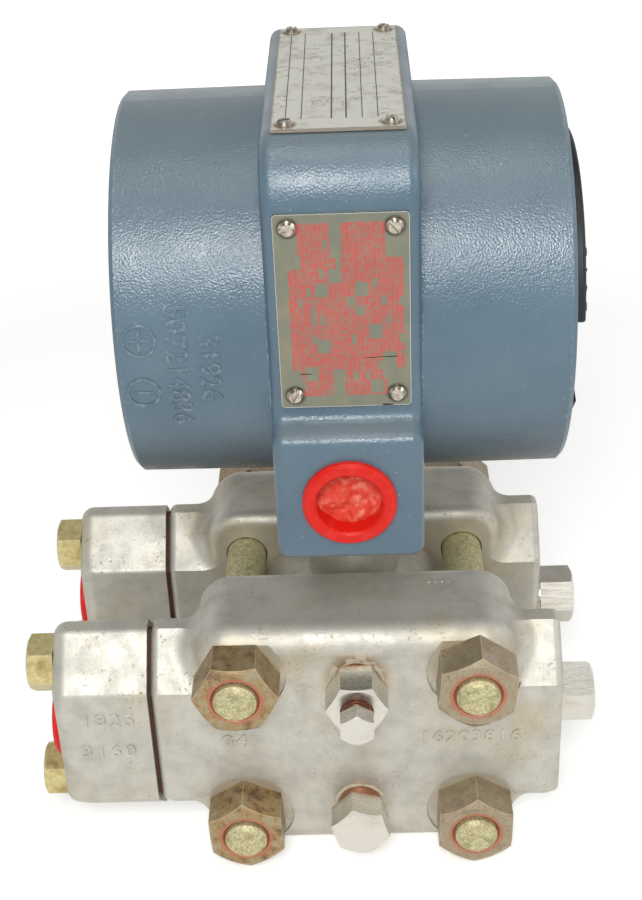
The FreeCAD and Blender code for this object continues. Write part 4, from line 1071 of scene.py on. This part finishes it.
paper.inputs["Roughness"].default_value = studio["floorRoughness"]
paper.inputs["Emission Color"].default_value = (1.0, 1.0, 1.0, 1.0)
seen = addNode(paperWhite, "LightPath", {}, "Is Camera Ray")
mirrored = addNode(paperWhite, "LightPath", {}, "Is Glossy Ray")
shine = addNode(paperWhite, "Math", {0: mirrored, 1: studio["floorShine"]}, operation="MULTIPLY")
spot = addNode(paperWhite, "TexCoord", {}, "Object")
spot = addNode(paperWhite, "VectorMath", {0: spot}, "Value", operation="LENGTH")
near, far = studio["nearReach"], studio["farReach"]
inputs = {0: spot, 1: near, 2: far, 3: studio["floorGlow"], 4: studio["farGlow"]}
shown = addNode(paperWhite, "MapRange", inputs)
glow = addNode(paperWhite, "Math", {0: seen, 1: shown, 2: shine}, operation="MULTIPLY_ADD")
paperWhite.node_tree.links.new(glow, paper.inputs["Emission Strength"])
floor.data.materials.append(paperWhite)

world = bpy.data.worlds.new("studioSurround")
bpy.context.scene.world = world
world.use_nodes = True
backdrop = world.node_tree.nodes["Background"]
backdrop.inputs["Color"].default_value = (1.0, 1.0, 1.0, 1.0)
towards = addNode(world, "TexCoord", {}, "Generated")
rise = addNode(world, "SeparateXYZ", {0: towards}, "Z")
sky = addNode(world, "MapRange", {0: rise, 1: 0.15, 2: 0.6, 3: 1.0, 4: studio["overhead"]})
strength = studio["surround"]
for kind, level in (("Glossy", sky), ("Camera", 1.0), ("Transmission", 1.0)):
    ray = addNode(world, "LightPath", {}, "Is " + kind + " Ray")
    strength = addNode(world, "Mix", {0: ray, 2: strength, 3: level}, 0)
world.node_tree.links.new(strength, backdrop.inputs["Strength"])


aim = (cadLow + cadHigh) / 2
for name, (power, size, distance, rise, turn) in studio["lamps"].items():
    lamp = bpy.data.lights.new(name, "AREA")
    lamp.energy = power
    lamp.size = size
    box = bpy.data.objects.new(name, lamp)
    bpy.context.scene.collection.objects.link(box)
    rise, turn = math.radians(rise), math.radians(turn)
    flat = math.cos(rise)
    back = Vector((math.sin(turn) * flat, -math.cos(turn) * flat, math.sin(rise)))
    box.location = aim + back * distance
    box.rotation_mode = "QUATERNION"
    box.rotation_quaternion = (-back).to_track_quat("-Z", "Y")

view = {
    "side": -0.57,  # mm from the neck's axis
    "away": 414.4,
    "height": 369.7,
    "turn": -1.15,  # degrees, to the left
    "drop": 31.31,  # degrees under the horizon
    "roll": -2.52,
    "lens": 63.72,
    "walk": 0.6,  # degrees round the neck's axis, to the right
}
turn, drop, roll = (math.radians(view[k]) for k in ("turn", "drop", "roll"))
ahead = Vector((math.sin(turn) * math.cos(drop), math.cos(turn) * math.cos(drop), -math.sin(drop)))
level = Vector((math.cos(turn), -math.sin(turn), 0.0))
upright = level.cross(ahead)
right = level * math.cos(roll) + upright * math.sin(roll)
upward = upright * math.cos(roll) - level * math.sin(roll)
place = Matrix.Translation((view["side"] * mm, -view["away"] * mm, view["height"] * mm))
facing = Matrix((right, upward, -ahead)).transposed().to_4x4()
walk = Matrix.Translation((axisX, 0.0, 0.0)) @ Matrix.Rotation(math.radians(view["walk"]), 4, "Z")
cameraData = bpy.data.cameras.new("productCamera")
cameraData.lens = view["lens"]
camera = bpy.data.objects.new("productCamera", cameraData)
bpy.context.scene.collection.objects.link(camera)
camera.matrix_world = walk @ place @ facing
bpy.context.scene.camera = camera
bpy.context.scene.view_settings.view_transform = "Standard"
print("stage, lamps and camera placed")
